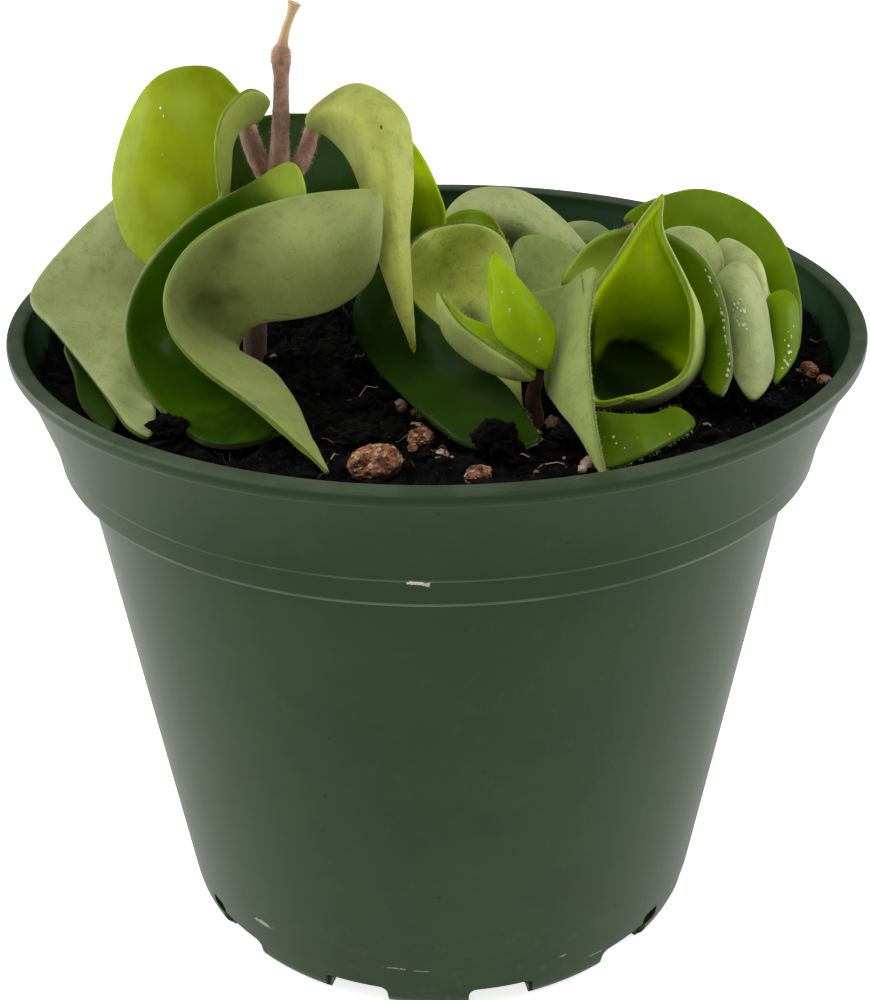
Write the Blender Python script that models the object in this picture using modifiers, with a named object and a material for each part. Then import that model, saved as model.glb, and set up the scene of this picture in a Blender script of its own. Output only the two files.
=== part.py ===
"""A Hindu rope plant, a wax plant with folded and curled leaves, rooted in a round nursery pot.

Frame: metres, +Z up, the origin on the pot's axis at the height of its feet. The front is -Y.
The pot and the soil are turned shapes. Each vine is a skeleton of stem points with a skin round it.
Each leaf is a thick sheet through a small net of guide points, from its base to its tip.
"""

import math
from collections import namedtuple

import bmesh
import bpy
from mathutils import Matrix, Vector, noise

MM = 0.001

# The pot, in millimetres
RIM_RADIUS = 54.0
POT_HEIGHT = 87.5
WALL = 1.2
LIP_HEIGHT = 1.9
BAND_TOP_RADIUS = 53.1
BAND_LINE_RADIUS = 49.9
BAND_LINE_HEIGHT = 75.0
BAND_FOOT_RADIUS = 49.5
BAND_FOOT_HEIGHT = 71.6
BODY_TOP_RADIUS = 47.0
BODY_FOOT_RADIUS = 38.9
BODY_FOOT_HEIGHT = 5.2
FOOT_RADIUS = 36.6
FOOT_WIDTH = 1.5
FLOOR_HEIGHT = 2.4
FOOT_COUNT = 12
FOOT_SHARE = 0.55
FOOT_TURN = math.radians(-3.0)
NOTCH_HEIGHT = 2.2
RECESS_HEIGHT = 3.9
RECESS_RADIUS = 37.0
DRAIN_WIDTH = 3.4
DRAIN_HEIGHT = 2.2
DRAIN_MIDDLE = 4.2
DRAIN_TURNS = [math.radians(degrees) for degrees in (-56.0, 50.0, 126.0, 234.0)]
POT_STEPS = 72

# The soil, in millimetres
SOIL_HEIGHT = 83.0
SOIL_STEPS = 56
SOIL_RINGS = 9
SOIL_LUMP = 0.9
SOIL_LUMP_SIZE = 9.0

# How pieces meet, in millimetres
SEAT_GAP = 0.3

# The leaves
LEAF_THICKNESS = 1.2
LEAF_LENGTH_STEPS = 13
LEAF_WIDTH_STEPS = 6

# The viewpoint that the guide points are sighted from, in millimetres and degrees
SIGHT_AIM = Vector((0.0, 0.0, 47.5))
SIGHT_DISTANCE = 210.0
SIGHT_ELEVATION = math.radians(30.3)
SIGHT_BACK = Vector((0.0, -math.cos(SIGHT_ELEVATION), math.sin(SIGHT_ELEVATION)))
SIGHT_UP = Vector((0.0, math.sin(SIGHT_ELEVATION), math.cos(SIGHT_ELEVATION)))
SIGHT_EYE = SIGHT_AIM + SIGHT_BACK * SIGHT_DISTANCE


def sighted(point):
    """The place in the pot's frame that is seen so far across and up from the aim, at that depth.

    A guide point is (across, up, depth): millimetres right and up on the plane through the aim
    that faces the eye, and the Y at which the line of sight is stopped.
    """
    across, up, depth = point
    on_plane = SIGHT_AIM + Vector((across, 0.0, 0.0)) + SIGHT_UP * up
    line = on_plane - SIGHT_EYE
    return SIGHT_EYE + line * ((depth - SIGHT_EYE.y) / line.y)


Leaf = namedtuple("Leaf", "name base rows tip blunt")

# Every row of a leaf runs across the blade from one margin to the other, with the midrib in the
# middle, and the rows follow each other from the base to the tip. A blunt leaf has a rounded tip.
LEAVES = [
    Leaf(
        "leaf_crown_left", (-25.5, 64.8, -5.8), [
            [(-23.6, 67.1, -7.6), (-26.6, 63.8, -6.6), (-28.1, 65.4, -5), (-28.5, 67.3, -4), (-28.2, 68.6, -3.6)],
            [(-26.4, 68.5, -11), (-28.2, 62.5, -8.5), (-30.7, 65.1, -7), (-32.5, 68.4, -5.5), (-32.5, 72, -4.5)],
            [(-29.9, 65.3, -13.2), (-29.5, 60, -10.8), (-34.1, 61.6, -10.5), (-38.6, 64.9, -9), (-40.5, 69.9, -5.5)],
            [(-31.3, 61, -14.2), (-29.7, 56.7, -11.4), (-35.4, 56.7, -11.2), (-41.2, 58.3, -10), (-45.6, 59, -6.5)],
            [(-31.1, 56.2, -13.9), (-30, 53.1, -11.8), (-35.9, 52.1, -12), (-41.3, 52.2, -11), (-45.6, 51.7, -7.5)],
            [(-31.5, 51.9, -13.2), (-30.8, 49.6, -12), (-35.7, 48.1, -12.2), (-40.1, 47.6, -11.5), (-43.9, 46.6, -9)],
        ], (-39.6, 42.5, -11.5), False,
    ),
    Leaf(
        "leaf_crown_right", (-18.2, 63.4, -4), [
            [(-15.2, 61.8, -5.5), (-14.8, 65.2, -8), (-16.6, 66.2, -4)],
            [(-12.4, 58.8, -9), (-10.8, 64, -12), (-10.8, 69.2, -6)],
            [(-10.6, 54, -13), (-7.6, 59, -15.5), (-4.4, 65, -9)],
            [(-9, 48, -16.5), (-6.5, 51.5, -18.5), (-3.4, 57, -13)],
            [(-7.2, 41.5, -19.5), (-5.6, 43, -21), (-4, 46, -18)],
        ], (-3.2, 30.6, -23.5), False,
    ),
    Leaf(
        "leaf_front_outer", (-20.6, 58, -6.5), [
            [(-27, 54.9, -12.5), (-23.5, 51.5, -11.5), (-18.6, 52, -8.5)],
            [(-35, 50.2, -17), (-30.5, 44, -13.5), (-22.5, 44, -9)],
            [(-42.3, 42, -19), (-36, 37, -14), (-28, 38, -11)],
            [(-44.5, 33, -22), (-38, 30, -18.5), (-30, 31, -16)],
            [(-40.3, 23.8, -27), (-34.5, 24, -24.5), (-28, 26, -21)],
            [(-32, 17.6, -35.5), (-29, 20, -32), (-24, 22, -28)],
        ], (-22.3, 19.5, -32), True,
    ),
    Leaf(
        "leaf_front_inner", (-8, 49.4, -21), [
            [(-8.3, 53.7, -19.5), (-9.8, 48.3, -22.8), (-9.3, 41.6, -21)],
            [(-13.5, 53.9, -18.5), (-15, 46.1, -23.2), (-14.5, 37.2, -21.5)],
            [(-20.7, 53.1, -18.2), (-21.3, 45.3, -21.5), (-20.2, 35.8, -20.5)],
            [(-27.5, 51.1, -19.2), (-28.2, 44.8, -18.6), (-25.3, 35.1, -18.5)],
            [(-34.7, 47, -21.5), (-32.2, 40.3, -18), (-27.9, 32.8, -17)],
            [(-38.8, 40.6, -23.5), (-33.8, 35.9, -19.5), (-28.4, 30.7, -17.5)],
            [(-38.1, 34.2, -25), (-32.9, 32.4, -23), (-26, 29.6, -20.5)],
            [(-33.9, 29, -27.5), (-29.4, 28.1, -26.5), (-22.9, 27.6, -24)],
            [(-28.3, 24.8, -31.5), (-24.8, 24.4, -30.5), (-20.3, 23.8, -29)],
            [(-22.7, 20.2, -37.5), (-20.8, 19.8, -37.2), (-18.6, 19.6, -36.5)],
        ], (-15.5, 13.4, -43.6), False,
    ),
    Leaf(
        "leaf_left_upper", (-41.9, 54.9, 3), [
            [(-47.9, 51.3, 1), (-45.3, 48.1, -1), (-38.6, 47.2, 1)],
            [(-54.2, 45, -3), (-46.9, 43.8, -3.5), (-39.6, 43.2, -2)],
            [(-58.2, 39, -9), (-50, 38.9, -7), (-40.7, 38.3, -5)],
            [(-54.6, 34.4, -14.5), (-48.2, 34.3, -12.5), (-40.9, 34.3, -10)],
            [(-49.7, 27.9, -21), (-45.7, 29.3, -19.5), (-40.7, 29.8, -16)],
            [(-46.3, 23.3, -28.6), (-43.8, 24.2, -25.5), (-40.4, 25.1, -23)],
            [(-44, 20.4, -33), (-42.2, 20.7, -31), (-40.3, 21.4, -29.2)],
        ], (-41.2, 18.9, -33.6), True,
    ),
    Leaf(
        "leaf_left_lower", (-48.7, 36.4, -6), [
            [(-53, 32.5, -12), (-49.7, 32.7, -9), (-45.4, 32.6, -7)],
            [(-51.9, 28.3, -18), (-47.8, 27.8, -17), (-43.7, 27.4, -16.2)],
            [(-51, 23.9, -24.2), (-47.9, 22.9, -26.2), (-45.3, 22.6, -26.3)],
        ], (-46.9, 20, -31.8), True,
    ),
    Leaf(
        "leaf_crown_back", (-20.1, 43.3, 1), [
            [(-30.1, 46.5, 3), (-20.1, 47.9, 3.5), (-10, 46.3, 3)],
            [(-31.7, 56.7, 6.5), (-20.1, 55.6, 7.5), (-7.6, 56.5, 6)],
            [(-29, 63.3, 10.5), (-19.9, 63, 12), (-10.1, 63.1, 10.5)],
        ], (-19.3, 65, 13), True,
    ),
    Leaf(
        "leaf_crown_shoulder", (-6.3, 63.6, 2), [
            [(-8.6, 58.3, 1), (-5.5, 60, 1.5), (-2.6, 60.1, 1.5)],
            [(-6.4, 52.9, 0), (-3, 54.9, -0.3), (0.2, 54.6, 0.5)],
            [(-4.6, 48.6, 1.4), (-1.6, 49.3, 1.2), (1.4, 49.8, 2.2)],
        ], (-0.8, 45.5, 2.7), True,
    ),
    Leaf(
        "leaf_centre_trough", (-2.7, 47.1, -7), [
            [(-4.4, 43.8, -12), (-5.7, 43.4, -10), (-6.5, 43.9, -6), (-1.1, 45.3, -2), (0.4, 48.7, -3)],
            [(-3.4, 38.4, -16.5), (-7.7, 38.4, -14), (-11.2, 38.6, -8), (-1.3, 40.8, -1), (5.4, 49.2, 0)],
            [(0.5, 34.6, -19), (-5.4, 33.4, -18.5), (-11.4, 34, -10.5), (0.8, 37.7, -3.5), (9.2, 47.4, 1)],
            [(5, 30.2, -21.5), (-1.3, 28.3, -22), (-9.3, 29, -16.5), (3.4, 34.5, -9), (11.2, 43.5, -1)],
            [(10.1, 25.7, -25.5), (3.3, 23.6, -27.8), (-5.3, 24.7, -25.5), (7.2, 29.9, -14), (11.4, 37.3, -7)],
            [(12.9, 21.2, -32.5), (7, 20.3, -33.8), (0.1, 19.9, -33), (9.1, 23.1, -27), (11.7, 25.9, -20.5)],
            [(14.4, 17.9, -36), (9.5, 17.3, -37), (4.1, 17.5, -36.6), (9.5, 18.8, -34.6), (12.4, 19.4, -34)],
        ], (9.6, 16.6, -38), True,
    ),
    Leaf(
        "leaf_sprout_right", (15.6, 28.3, -30), [
            [(13, 29.2, -30.5), (14.9, 31, -30.2), (16.6, 30.4, -30.2)],
            [(8.4, 33, -29.5), (12.4, 35.3, -29.5), (16.7, 34.2, -28)],
            [(7.6, 38.7, -26.5), (10.1, 39.1, -28), (13.5, 38.6, -26.5)],
            [(7.6, 42.7, -24.5), (8.7, 42.3, -25.5), (10.4, 42.5, -24.5)],
        ], (8.1, 45.1, -23), False,
    ),
    Leaf(
        "leaf_sprout_left", (14, 27.1, -30.5), [
            [(11.3, 29.4, -31.5), (10.7, 27.4, -30.3), (13, 31.5, -26.5)],
            [(7.1, 32, -30), (5.9, 29.3, -28), (9.1, 33.9, -24)],
            [(3.2, 35, -28.5), (1.5, 33.3, -26.5), (4.2, 35.8, -23.5)],
        ], (0.4, 39.4, -25.5), False,
    ),
    Leaf(
        "leaf_pitcher", (28.1, 24, -31), [
            [(22.3, 23.4, -30), (24.2, 23, -27.2), (28.5, 23.1, -25.4), (33.3, 24.4, -25.2), (34.3, 26.6, -28.4)],
            [(21.1, 27.8, -28.2), (22.5, 27, -22), (29, 30, -14.5), (36.6, 27.6, -20), (36.2, 29.8, -26.5)],
            [(20.9, 32, -27.2), (22.5, 31.4, -18), (29.3, 32.5, -13), (37.4, 31.6, -18), (36.6, 33, -25)],
            [(21.4, 37, -25.7), (23.8, 36.5, -18), (29.6, 36, -17.5), (36.7, 36.5, -18), (36.5, 37.6, -23)],
            [(24.8, 42.4, -22.5), (26.5, 42.3, -20), (30, 42.5, -20), (33.3, 43, -19), (33.9, 43.8, -21)],
            [(28.7, 48.2, -20.5), (29.4, 48.1, -19.5), (30.5, 48, -19), (31.5, 48.2, -19.2), (32.1, 48.4, -20)],
        ], (32.5, 53.2, -19.5), False,
    ),
    Leaf(
        "leaf_pitcher_side", (22.9, 42.5, -26.5), [
            [(22.4, 39, -29), (20.9, 39.8, -26.5), (18.8, 39.9, -21.5)],
            [(21.7, 34.8, -31.5), (19.1, 35.7, -27.5), (17.3, 35.7, -21)],
            [(21.7, 30.6, -34), (18.3, 30.6, -30), (16, 30.6, -23.8)],
            [(21.9, 26.4, -36.5), (18.4, 26, -33.5), (15.6, 25.8, -26.5)],
            [(22.3, 22.2, -39.5), (19.9, 21.8, -37.5), (17.5, 22.4, -33.5)],
            [(23, 17.6, -42.5), (21.7, 17.4, -41.5), (20.5, 18.8, -39)],
        ], (24, 12.4, -45.2), False,
    ),
    Leaf(
        "leaf_pitcher_flap", (36.5, 20.4, -32.8), [
            [(33.7, 22.4, -31.8), (34.8, 20.8, -33.6), (35.8, 19.1, -35.2)],
            [(30.6, 21.5, -33.4), (31.4, 19.4, -36), (32.4, 17.1, -38)],
            [(26.8, 21.6, -35.8), (27.4, 18.8, -38.8), (28.4, 15.2, -41.5)],
            [(21.7, 21.7, -35), (22.6, 17.8, -37.4), (23.5, 14.1, -41.4)],
        ], (20.8, 17.8, -36.8), True,
    ),
    Leaf(
        "leaf_pitcher_back", (9.7, 37, -13.5), [
            [(13.1, 38.9, -13), (13.3, 35.7, -15.5), (13, 29.4, -17.5)],
            [(16.9, 39.7, -15), (16.6, 35.9, -17.5), (15.5, 29.8, -19)],
            [(20.2, 40.9, -18.5), (19.4, 37.3, -19.8), (17.7, 33.1, -20.8)],
        ], (22.7, 42.8, -21.5), False,
    ),
    Leaf(
        "leaf_right_collar", (17.9, 40.3, -8.5), [
            [(20.3, 44.7, -6.5), (21.7, 42.8, -7), (23.2, 39.8, -8.5)],
            [(23.9, 47.6, -7), (25.7, 44.8, -7), (27.4, 40.2, -8)],
            [(28.7, 48.2, -8), (30.4, 44.4, -8), (31.6, 39.7, -8.5)],
            [(33.7, 47.1, -10.5), (34.5, 43.1, -10.2), (34.9, 38.9, -10)],
            [(38, 43.7, -14), (37.5, 39.7, -13), (37, 35.9, -12)],
            [(40.7, 38.4, -18), (39.5, 35.9, -16.8), (37.6, 33, -14.5)],
            [(41.7, 32.9, -22), (39.9, 31.7, -20.5), (37.6, 29.6, -17)],
            [(42, 27.9, -25.5), (40.1, 27.5, -24.5), (37.8, 26.9, -21.5)],
        ], (40.2, 24.2, -28.8), True,
    ),
    Leaf(
        "leaf_right_pale_inner", (37.4, 38.8, -5.5), [
            [(32.9, 43.9, -5), (37.1, 43.5, -5.2), (40.9, 41.8, -8)],
            [(32.3, 47.6, -3), (36.7, 47, -3.2), (40.5, 45.5, -6)],
        ], (37.1, 48.2, -2.4), True,
    ),
    Leaf(
        "leaf_right_tongue", (43, 43.1, -10), [
            [(40.1, 40.9, -10.5), (42.7, 40.7, -13.5), (45.5, 41.1, -10.5)],
            [(40.9, 37.1, -13.5), (43.7, 36.9, -17.5), (46.9, 37.1, -13.5)],
            [(41.6, 32.9, -17.5), (44.5, 32.7, -21), (47.5, 32.9, -17)],
            [(42.3, 27, -23.5), (44.9, 26.6, -25.5), (47.8, 27, -22.8)],
        ], (45.1, 23.5, -28.8), True,
    ),
    Leaf(
        "leaf_right_outer", (26.9, 49.5, 3), [
            [(30.5, 52.2, 5), (31, 50.2, 4), (31.5, 47.5, 3)],
            [(38, 53.7, 5.5), (37.8, 50.5, 3.5), (37, 46.5, 2)],
            [(45.1, 51.2, 3), (43, 48, 1), (40.5, 44, 0)],
            [(49.9, 45.6, -1), (47.4, 43.5, -2), (44.5, 41, -2)],
            [(52, 38, -5.5), (50, 37.5, -5), (47.8, 36, -3.5)],
            [(51.6, 31.5, -11), (50.4, 31.3, -9.8), (48.8, 31, -8.5)],
        ], (50, 28.8, -14), False,
    ),
    Leaf(
        "leaf_right_pale_outer", (39.6, 43.9, -3.2), [
            [(41.3, 46.7, -2.6), (42.3, 43.4, -5.5), (42.7, 39.6, -7.5)],
            [(45.1, 44.7, -4.6), (45.7, 41.3, -7.4), (45.4, 37.1, -9)],
            [(47, 40.7, -6.6), (47, 37.9, -8.4), (46.3, 34.9, -10.6)],
        ], (48.3, 36.5, -9.6), False,
    ),
    Leaf(
        "leaf_right_small", (49.8, 39.1, -9.5), [
            [(47.2, 37.9, -10.5), (49.2, 37.1, -12.5), (51.5, 37.3, -11.5)],
            [(47.7, 33.7, -13.5), (49.5, 33.1, -15.5), (51.7, 33.3, -14.2)],
            [(47.9, 29.1, -18.5), (49.4, 28.7, -19.6), (51.1, 29.3, -18.4)],
        ], (48.2, 25.8, -23), True,
    ),
    Leaf(
        "leaf_back_pale", (0.8, 49, 8), [
            [(4.5, 53.5, 16), (5, 50.5, 11), (5, 45, 12.5)],
            [(12, 53.7, 20), (11, 49.5, 13.5), (10, 43, 16.5)],
            [(18, 49.5, 19), (16.5, 45.8, 13), (14.5, 41, 14.5)],
        ], (22.3, 44.8, 12), False,
    ),
    Leaf(
        "leaf_back_green", (0.5, 48.5, 4), [
            [(3.6, 51, 6), (4, 48.5, 5), (4, 45, 4)],
            [(8, 50.2, 7.5), (7.5, 47.5, 6.5), (7, 43.5, 5)],
        ], (10.6, 45.5, 6), False,
    ),
    Leaf(
        "leaf_back_mid", (10.7, 44.3, 5.5), [
            [(12.5, 47.2, 8), (12.5, 42.5, 4.5), (12.5, 38, 2)],
            [(17.5, 46.6, 8), (17, 42, 4), (16.5, 38, 0)],
        ], (21.5, 43.5, 4), False,
    ),
    Leaf(
        "leaf_back_small", (15.5, 44.5, 22), [
            [(18.3, 48.6, 27), (18.5, 46.5, 22), (18.5, 42.6, 24)],
            [(22.8, 49, 26), (22.5, 46.5, 20.5), (22.5, 43.5, 22.5)],
        ], (26.2, 46.3, 21), False,
    ),
]


# The stems and leaf stalks, as sighted points from the root up, each with its radius in millimetres.
# A branch that stands in the soil has its first point at the soil, and its root goes straight down.
Branch = namedtuple("Branch", "vine rooted points")
ROOT_DEPTH = 9.0
BRANCHES = [
    Branch("vine_left", True, [
        (-26, 31.5, -8, 1.5), (-25.8, 38, -7.5, 1.4), (-24.8, 46, -6.8, 1.35), (-23.4, 53, -5.6, 1.4),
        (-22.5, 57, -5, 1.5), (-22.2, 60, -5, 1.15), (-22, 65, -5, 1.0), (-21.9, 70, -5, 0.9),
        (-21.9, 73.2, -5, 1.15), (-21.7, 74.8, -5, 0.7), (-21.2, 77, -5, 0.5), (-20.4, 79.3, -5, 0.5),
        (-19.9, 80.9, -5, 0.75),
    ]),
    Branch("vine_left", False, [
        (-23.2, 54.5, -5.2, 1.2), (-24.8, 57.5, -4.7, 1.2), (-26.1, 60.5, -3.8, 1.2), (-27.1, 64.2, -2.6, 1.05),
    ]),
    Branch("vine_left", False, [
        (-22.4, 55.5, -5, 1.1), (-20, 57, -4.6, 1.1), (-18.5, 59.5, -3.7, 1.0), (-17.6, 62.8, -2.6, 0.9),
    ]),
    Branch("vine_left", False, [
        (-24.8, 45.5, -6.8, 1.0), (-23.2, 46, -3, 0.95), (-21.2, 47.4, 1.6, 0.9),
    ]),
    Branch("vine_middle", True, [(13.9, 21.6, -27.2, 1.0), (13.6, 24.4, -28.0, 0.85), (14.4, 27.0, -28.9, 0.75)]),
    Branch("vine_right", True, [
        (33, 34, 0, 1.3), (31.5, 39, 0.3, 1.2), (28.8, 44.5, 1.2, 1.1), (27.1, 48.6, 2.5, 1.0),
    ]),
    Branch("vine_right", False, [(32.6, 35.5, 0.1, 1.0), (34.5, 36.5, -2.5, 0.95), (36.6, 37.8, -4.9, 0.9)]),
    Branch("vine_back", True, [
        (3, 36, 6, 1.3), (2.2, 41, 6.3, 1.2), (1.2, 45.5, 7, 1.1), (1.0, 47.4, 7.4, 1.0),
    ]),
    Branch("vine_back", False, [(2.1, 43, 6.5, 0.9), (1.5, 46, 5.6, 0.85), (1.2, 46.9, 5.0, 0.8)]),
    Branch("vine_back", False, [(2.6, 38.5, 6.1, 1.0), (6.5, 41.3, 7, 0.9), (9.9, 43.6, 6.3, 0.85)]),
]

# The larger stones: the place where each is seen, its three sizes and its turn about +Z
Stone = namedtuple("Stone", "name place size turn")
STONES = [
    Stone("stone_front", (-8.9, 13.9, -39.5), (5.8, 5.0, 3.9), 0.3),
    Stone("stone_middle", (-2.4, 18.3, -32.3), (3.2, 2.8, 2.0), 1.1),
    Stone("stone_front_right", (5.7, 12.6, -42.0), (3.2, 2.6, 2.2), 0.6),
    Stone("stone_right", (53.0, 27.5, -14.2), (2.7, 2.3, 1.9), 2.0),
]
STONE_SUNK = 0.35


def along(points, t, before, after):
    """The point at t, from 0 to 1, of a smooth curve through evenly spaced points."""
    line = [before, *points, after]
    place = min(max(t, 0.0), 1.0) * (len(points) - 1)
    span = min(int(place), len(points) - 2)
    s = place - span
    a, b, c, d = line[span:span + 4]
    return 0.5 * (
        2 * b + (c - a) * s + (2 * a - 5 * b + 4 * c - d) * s * s + (3 * b - a - 3 * c + d) * s ** 3
    )


def beyond(points):
    """The point that a smooth curve through these points would reach one step before the first."""
    return 2 * points[0] - points[1]


def leaf_surface(leaf):
    """The function that gives the middle of the blade at (u, v): u runs 0 to 1 from base to tip, v -1 to 1."""
    base, tip = sighted(leaf.base), sighted(leaf.tip)
    rows = [[sighted(point) for point in row] for row in leaf.rows]
    last = len(rows[0]) - 1
    guides = []
    for j in range(last + 1):
        points = [base] + [row[j] for row in rows] + [tip]
        middle = 2 * j == last
        before = beyond(points) if middle else rows[0][last - j]
        after = rows[-1][last - j] if leaf.blunt and not middle else beyond(points[::-1])
        guides.append((points, before, after))

    def surface(u, v):
        across = [along(points, u, before, after) for points, before, after in guides]
        return along(across, (v + 1) / 2, beyond(across), beyond(across[::-1]))

    return surface


def clear_scene():
    for old in list(bpy.data.objects):
        bpy.data.objects.remove(old)


def collection(name):
    made = bpy.data.collections.new(name)
    bpy.context.scene.collection.children.link(made)
    return made


def material(name, colour, roughness):
    made = bpy.data.materials.new(name)
    made.use_nodes = True
    shader = made.node_tree.nodes["Principled BSDF"]
    shader.inputs["Base Color"].default_value = (*colour, 1.0)
    shader.inputs["Roughness"].default_value = roughness
    shader.inputs["Metallic"].default_value = 0.0
    made.diffuse_color = (*colour, 1.0)
    return made


def mesh_object(name, bm, into, look):
    mesh = bpy.data.meshes.new(name)
    bm.to_mesh(mesh)
    bm.free()
    if look:
        mesh.materials.append(look)
    made = bpy.data.objects.new(name, mesh)
    into.objects.link(made)
    return made


def as_cutter(made):
    made.hide_render = True
    made.display_type = "WIRE"
    return made


def apply_modifiers(made):
    """Turn an object's modifiers, or its curve, into plain mesh with welded caps."""
    graph = bpy.context.evaluated_depsgraph_get()
    mesh = bpy.data.meshes.new_from_object(made.evaluated_get(graph), depsgraph=graph)
    bm = bmesh.new()
    bm.from_mesh(mesh)
    bmesh.ops.remove_doubles(bm, verts=bm.verts, dist=0.001 * MM)
    bm.to_mesh(mesh)
    bm.free()
    made.modifiers.clear()
    made.data = mesh
    return made


def cut(made, cutters):
    """Cut a collection's solids out of an object and remove them."""
    boolean = made.modifiers.new("Cut", "BOOLEAN")
    boolean.operation = "DIFFERENCE"
    boolean.solver = "EXACT"
    boolean.operand_type = "COLLECTION"
    boolean.collection = cutters
    apply_modifiers(made)
    for cutter in list(cutters.objects):
        bpy.data.objects.remove(cutter)
    bpy.data.collections.remove(cutters)


def turned(name, profile, steps, into, look):
    """Turn a closed outline of (radius, height) points round the axis."""
    bm = bmesh.new()
    verts = [bm.verts.new((radius * MM, 0.0, height * MM)) for radius, height in profile]
    for a, b in zip(verts, verts[1:]):
        bm.edges.new((a, b))
    if profile[0][0] > 0.0:
        bm.edges.new((verts[-1], verts[0]))
    made = mesh_object(name, bm, into, look)
    screw = made.modifiers.new("Turn", "SCREW")
    screw.axis = "Z"
    screw.steps = steps
    screw.render_steps = steps
    screw.use_merge_vertices = True
    screw.merge_threshold = 0.001 * MM
    return apply_modifiers(made)


def block(name, size, middle, turn, into):
    bm = bmesh.new()
    bmesh.ops.create_cube(bm, size=1.0)
    bmesh.ops.scale(bm, verts=bm.verts, vec=Vector(size) * MM)
    bmesh.ops.translate(bm, verts=bm.verts, vec=Vector(middle) * MM)
    bmesh.ops.rotate(bm, verts=bm.verts, matrix=Matrix.Rotation(turn, 3, "Z"))
    return as_cutter(mesh_object(name, bm, into, None))


def pot_inside(clearance):
    """The inside of the pot from the floor up to the lip, as (radius, height) points."""
    return [
        (FOOT_RADIUS - WALL - clearance, FLOOR_HEIGHT + WALL + clearance),
        (BODY_FOOT_RADIUS - WALL - clearance, BODY_FOOT_HEIGHT + WALL),
        (BODY_TOP_RADIUS - WALL - clearance, BAND_FOOT_HEIGHT - WALL),
        (BAND_FOOT_RADIUS - WALL - clearance, BAND_FOOT_HEIGHT + WALL),
        (BAND_LINE_RADIUS - WALL - clearance, BAND_LINE_HEIGHT),
    ]


def make_pot(into, look):
    lip_foot = POT_HEIGHT - LIP_HEIGHT
    profile = [
        (0.0, FLOOR_HEIGHT),
        (FOOT_RADIUS - FOOT_WIDTH, FLOOR_HEIGHT),
        (FOOT_RADIUS - FOOT_WIDTH, 0.0),
        (FOOT_RADIUS, 0.0),
        (FOOT_RADIUS + 0.45 * (BODY_FOOT_RADIUS - FOOT_RADIUS), 0.17 * BODY_FOOT_HEIGHT),
        (FOOT_RADIUS + 0.8 * (BODY_FOOT_RADIUS - FOOT_RADIUS), 0.5 * BODY_FOOT_HEIGHT),
        (BODY_FOOT_RADIUS, BODY_FOOT_HEIGHT),
        (BODY_TOP_RADIUS, BAND_FOOT_HEIGHT - 0.6),
        (BODY_TOP_RADIUS + 0.3, BAND_FOOT_HEIGHT),
        (BAND_FOOT_RADIUS - 0.4, BAND_FOOT_HEIGHT),
        (BAND_FOOT_RADIUS, BAND_FOOT_HEIGHT + 0.4),
        (BAND_LINE_RADIUS, BAND_LINE_HEIGHT),
        (BAND_TOP_RADIUS, lip_foot),
        (RIM_RADIUS - 0.3, lip_foot),
        (RIM_RADIUS, lip_foot + 0.5),
        (RIM_RADIUS, POT_HEIGHT - 0.5),
        (RIM_RADIUS - 0.5, POT_HEIGHT),
        (BAND_TOP_RADIUS - WALL + 0.3, POT_HEIGHT),
        (BAND_TOP_RADIUS - WALL, POT_HEIGHT - 0.5),
        *reversed(pot_inside(0.0)),
        (0.0, FLOOR_HEIGHT + WALL),
    ]
    pot = turned("pot", profile[::-1], POT_STEPS, into, look)
    cutters = collection("pot_cutters")
    pitch = 2 * math.pi / FOOT_COUNT
    gap = (1 - FOOT_SHARE) * pitch
    ring_middle = FOOT_RADIUS - FOOT_WIDTH / 2
    for k in range(FOOT_COUNT):
        middle = FOOT_TURN + (k + 0.5) * pitch
        size = (gap * ring_middle, 4 * FOOT_WIDTH, 2 * NOTCH_HEIGHT)
        block(f"notch_{k}", size, (0.0, -ring_middle - FOOT_WIDTH / 2, 0.0), middle, cutters)
        size = (gap * BODY_FOOT_RADIUS, 4 * FOOT_WIDTH, 2 * RECESS_HEIGHT)
        block(f"recess_{k}", size, (0.0, -RECESS_RADIUS - 2 * FOOT_WIDTH, 0.0), middle, cutters)
    for k, turn in enumerate(DRAIN_TURNS):
        size = (DRAIN_WIDTH, 3 * WALL, DRAIN_HEIGHT)
        place = (0.0, -BODY_FOOT_RADIUS + WALL, DRAIN_MIDDLE)
        block(f"drain_{k}", size, place, turn, cutters)
    cut(pot, cutters)
    return pot


def soil_lump(x, y):
    """How far the soil's top lies above or below its usual height at a place, in millimetres."""
    place = Vector((x, y, 0.0)) / SOIL_LUMP_SIZE
    return SOIL_LUMP * (noise.noise(place) + 0.5 * noise.noise(2.3 * place + Vector((7.0, 0.0, 0.0))))


def make_soil(into, look):
    inside = pot_inside(SEAT_GAP)
    share = (SOIL_HEIGHT - BAND_LINE_HEIGHT) / (POT_HEIGHT - BAND_LINE_HEIGHT)
    edge = inside[-1][0] + share * (BAND_TOP_RADIUS - BAND_LINE_RADIUS) - 0.3
    rings = [(edge * (1 - ring / SOIL_RINGS), SOIL_HEIGHT) for ring in range(SOIL_RINGS + 1)]
    profile = [(0.0, inside[0][1]), *inside, *rings]
    soil = turned("soil", profile[::-1], SOIL_STEPS, into, look)
    for vert in soil.data.vertices:
        if vert.co.z > (SOIL_HEIGHT - 0.1) * MM:
            vert.co.z += soil_lump(vert.co.x / MM, vert.co.y / MM) * MM
    return soil


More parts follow.
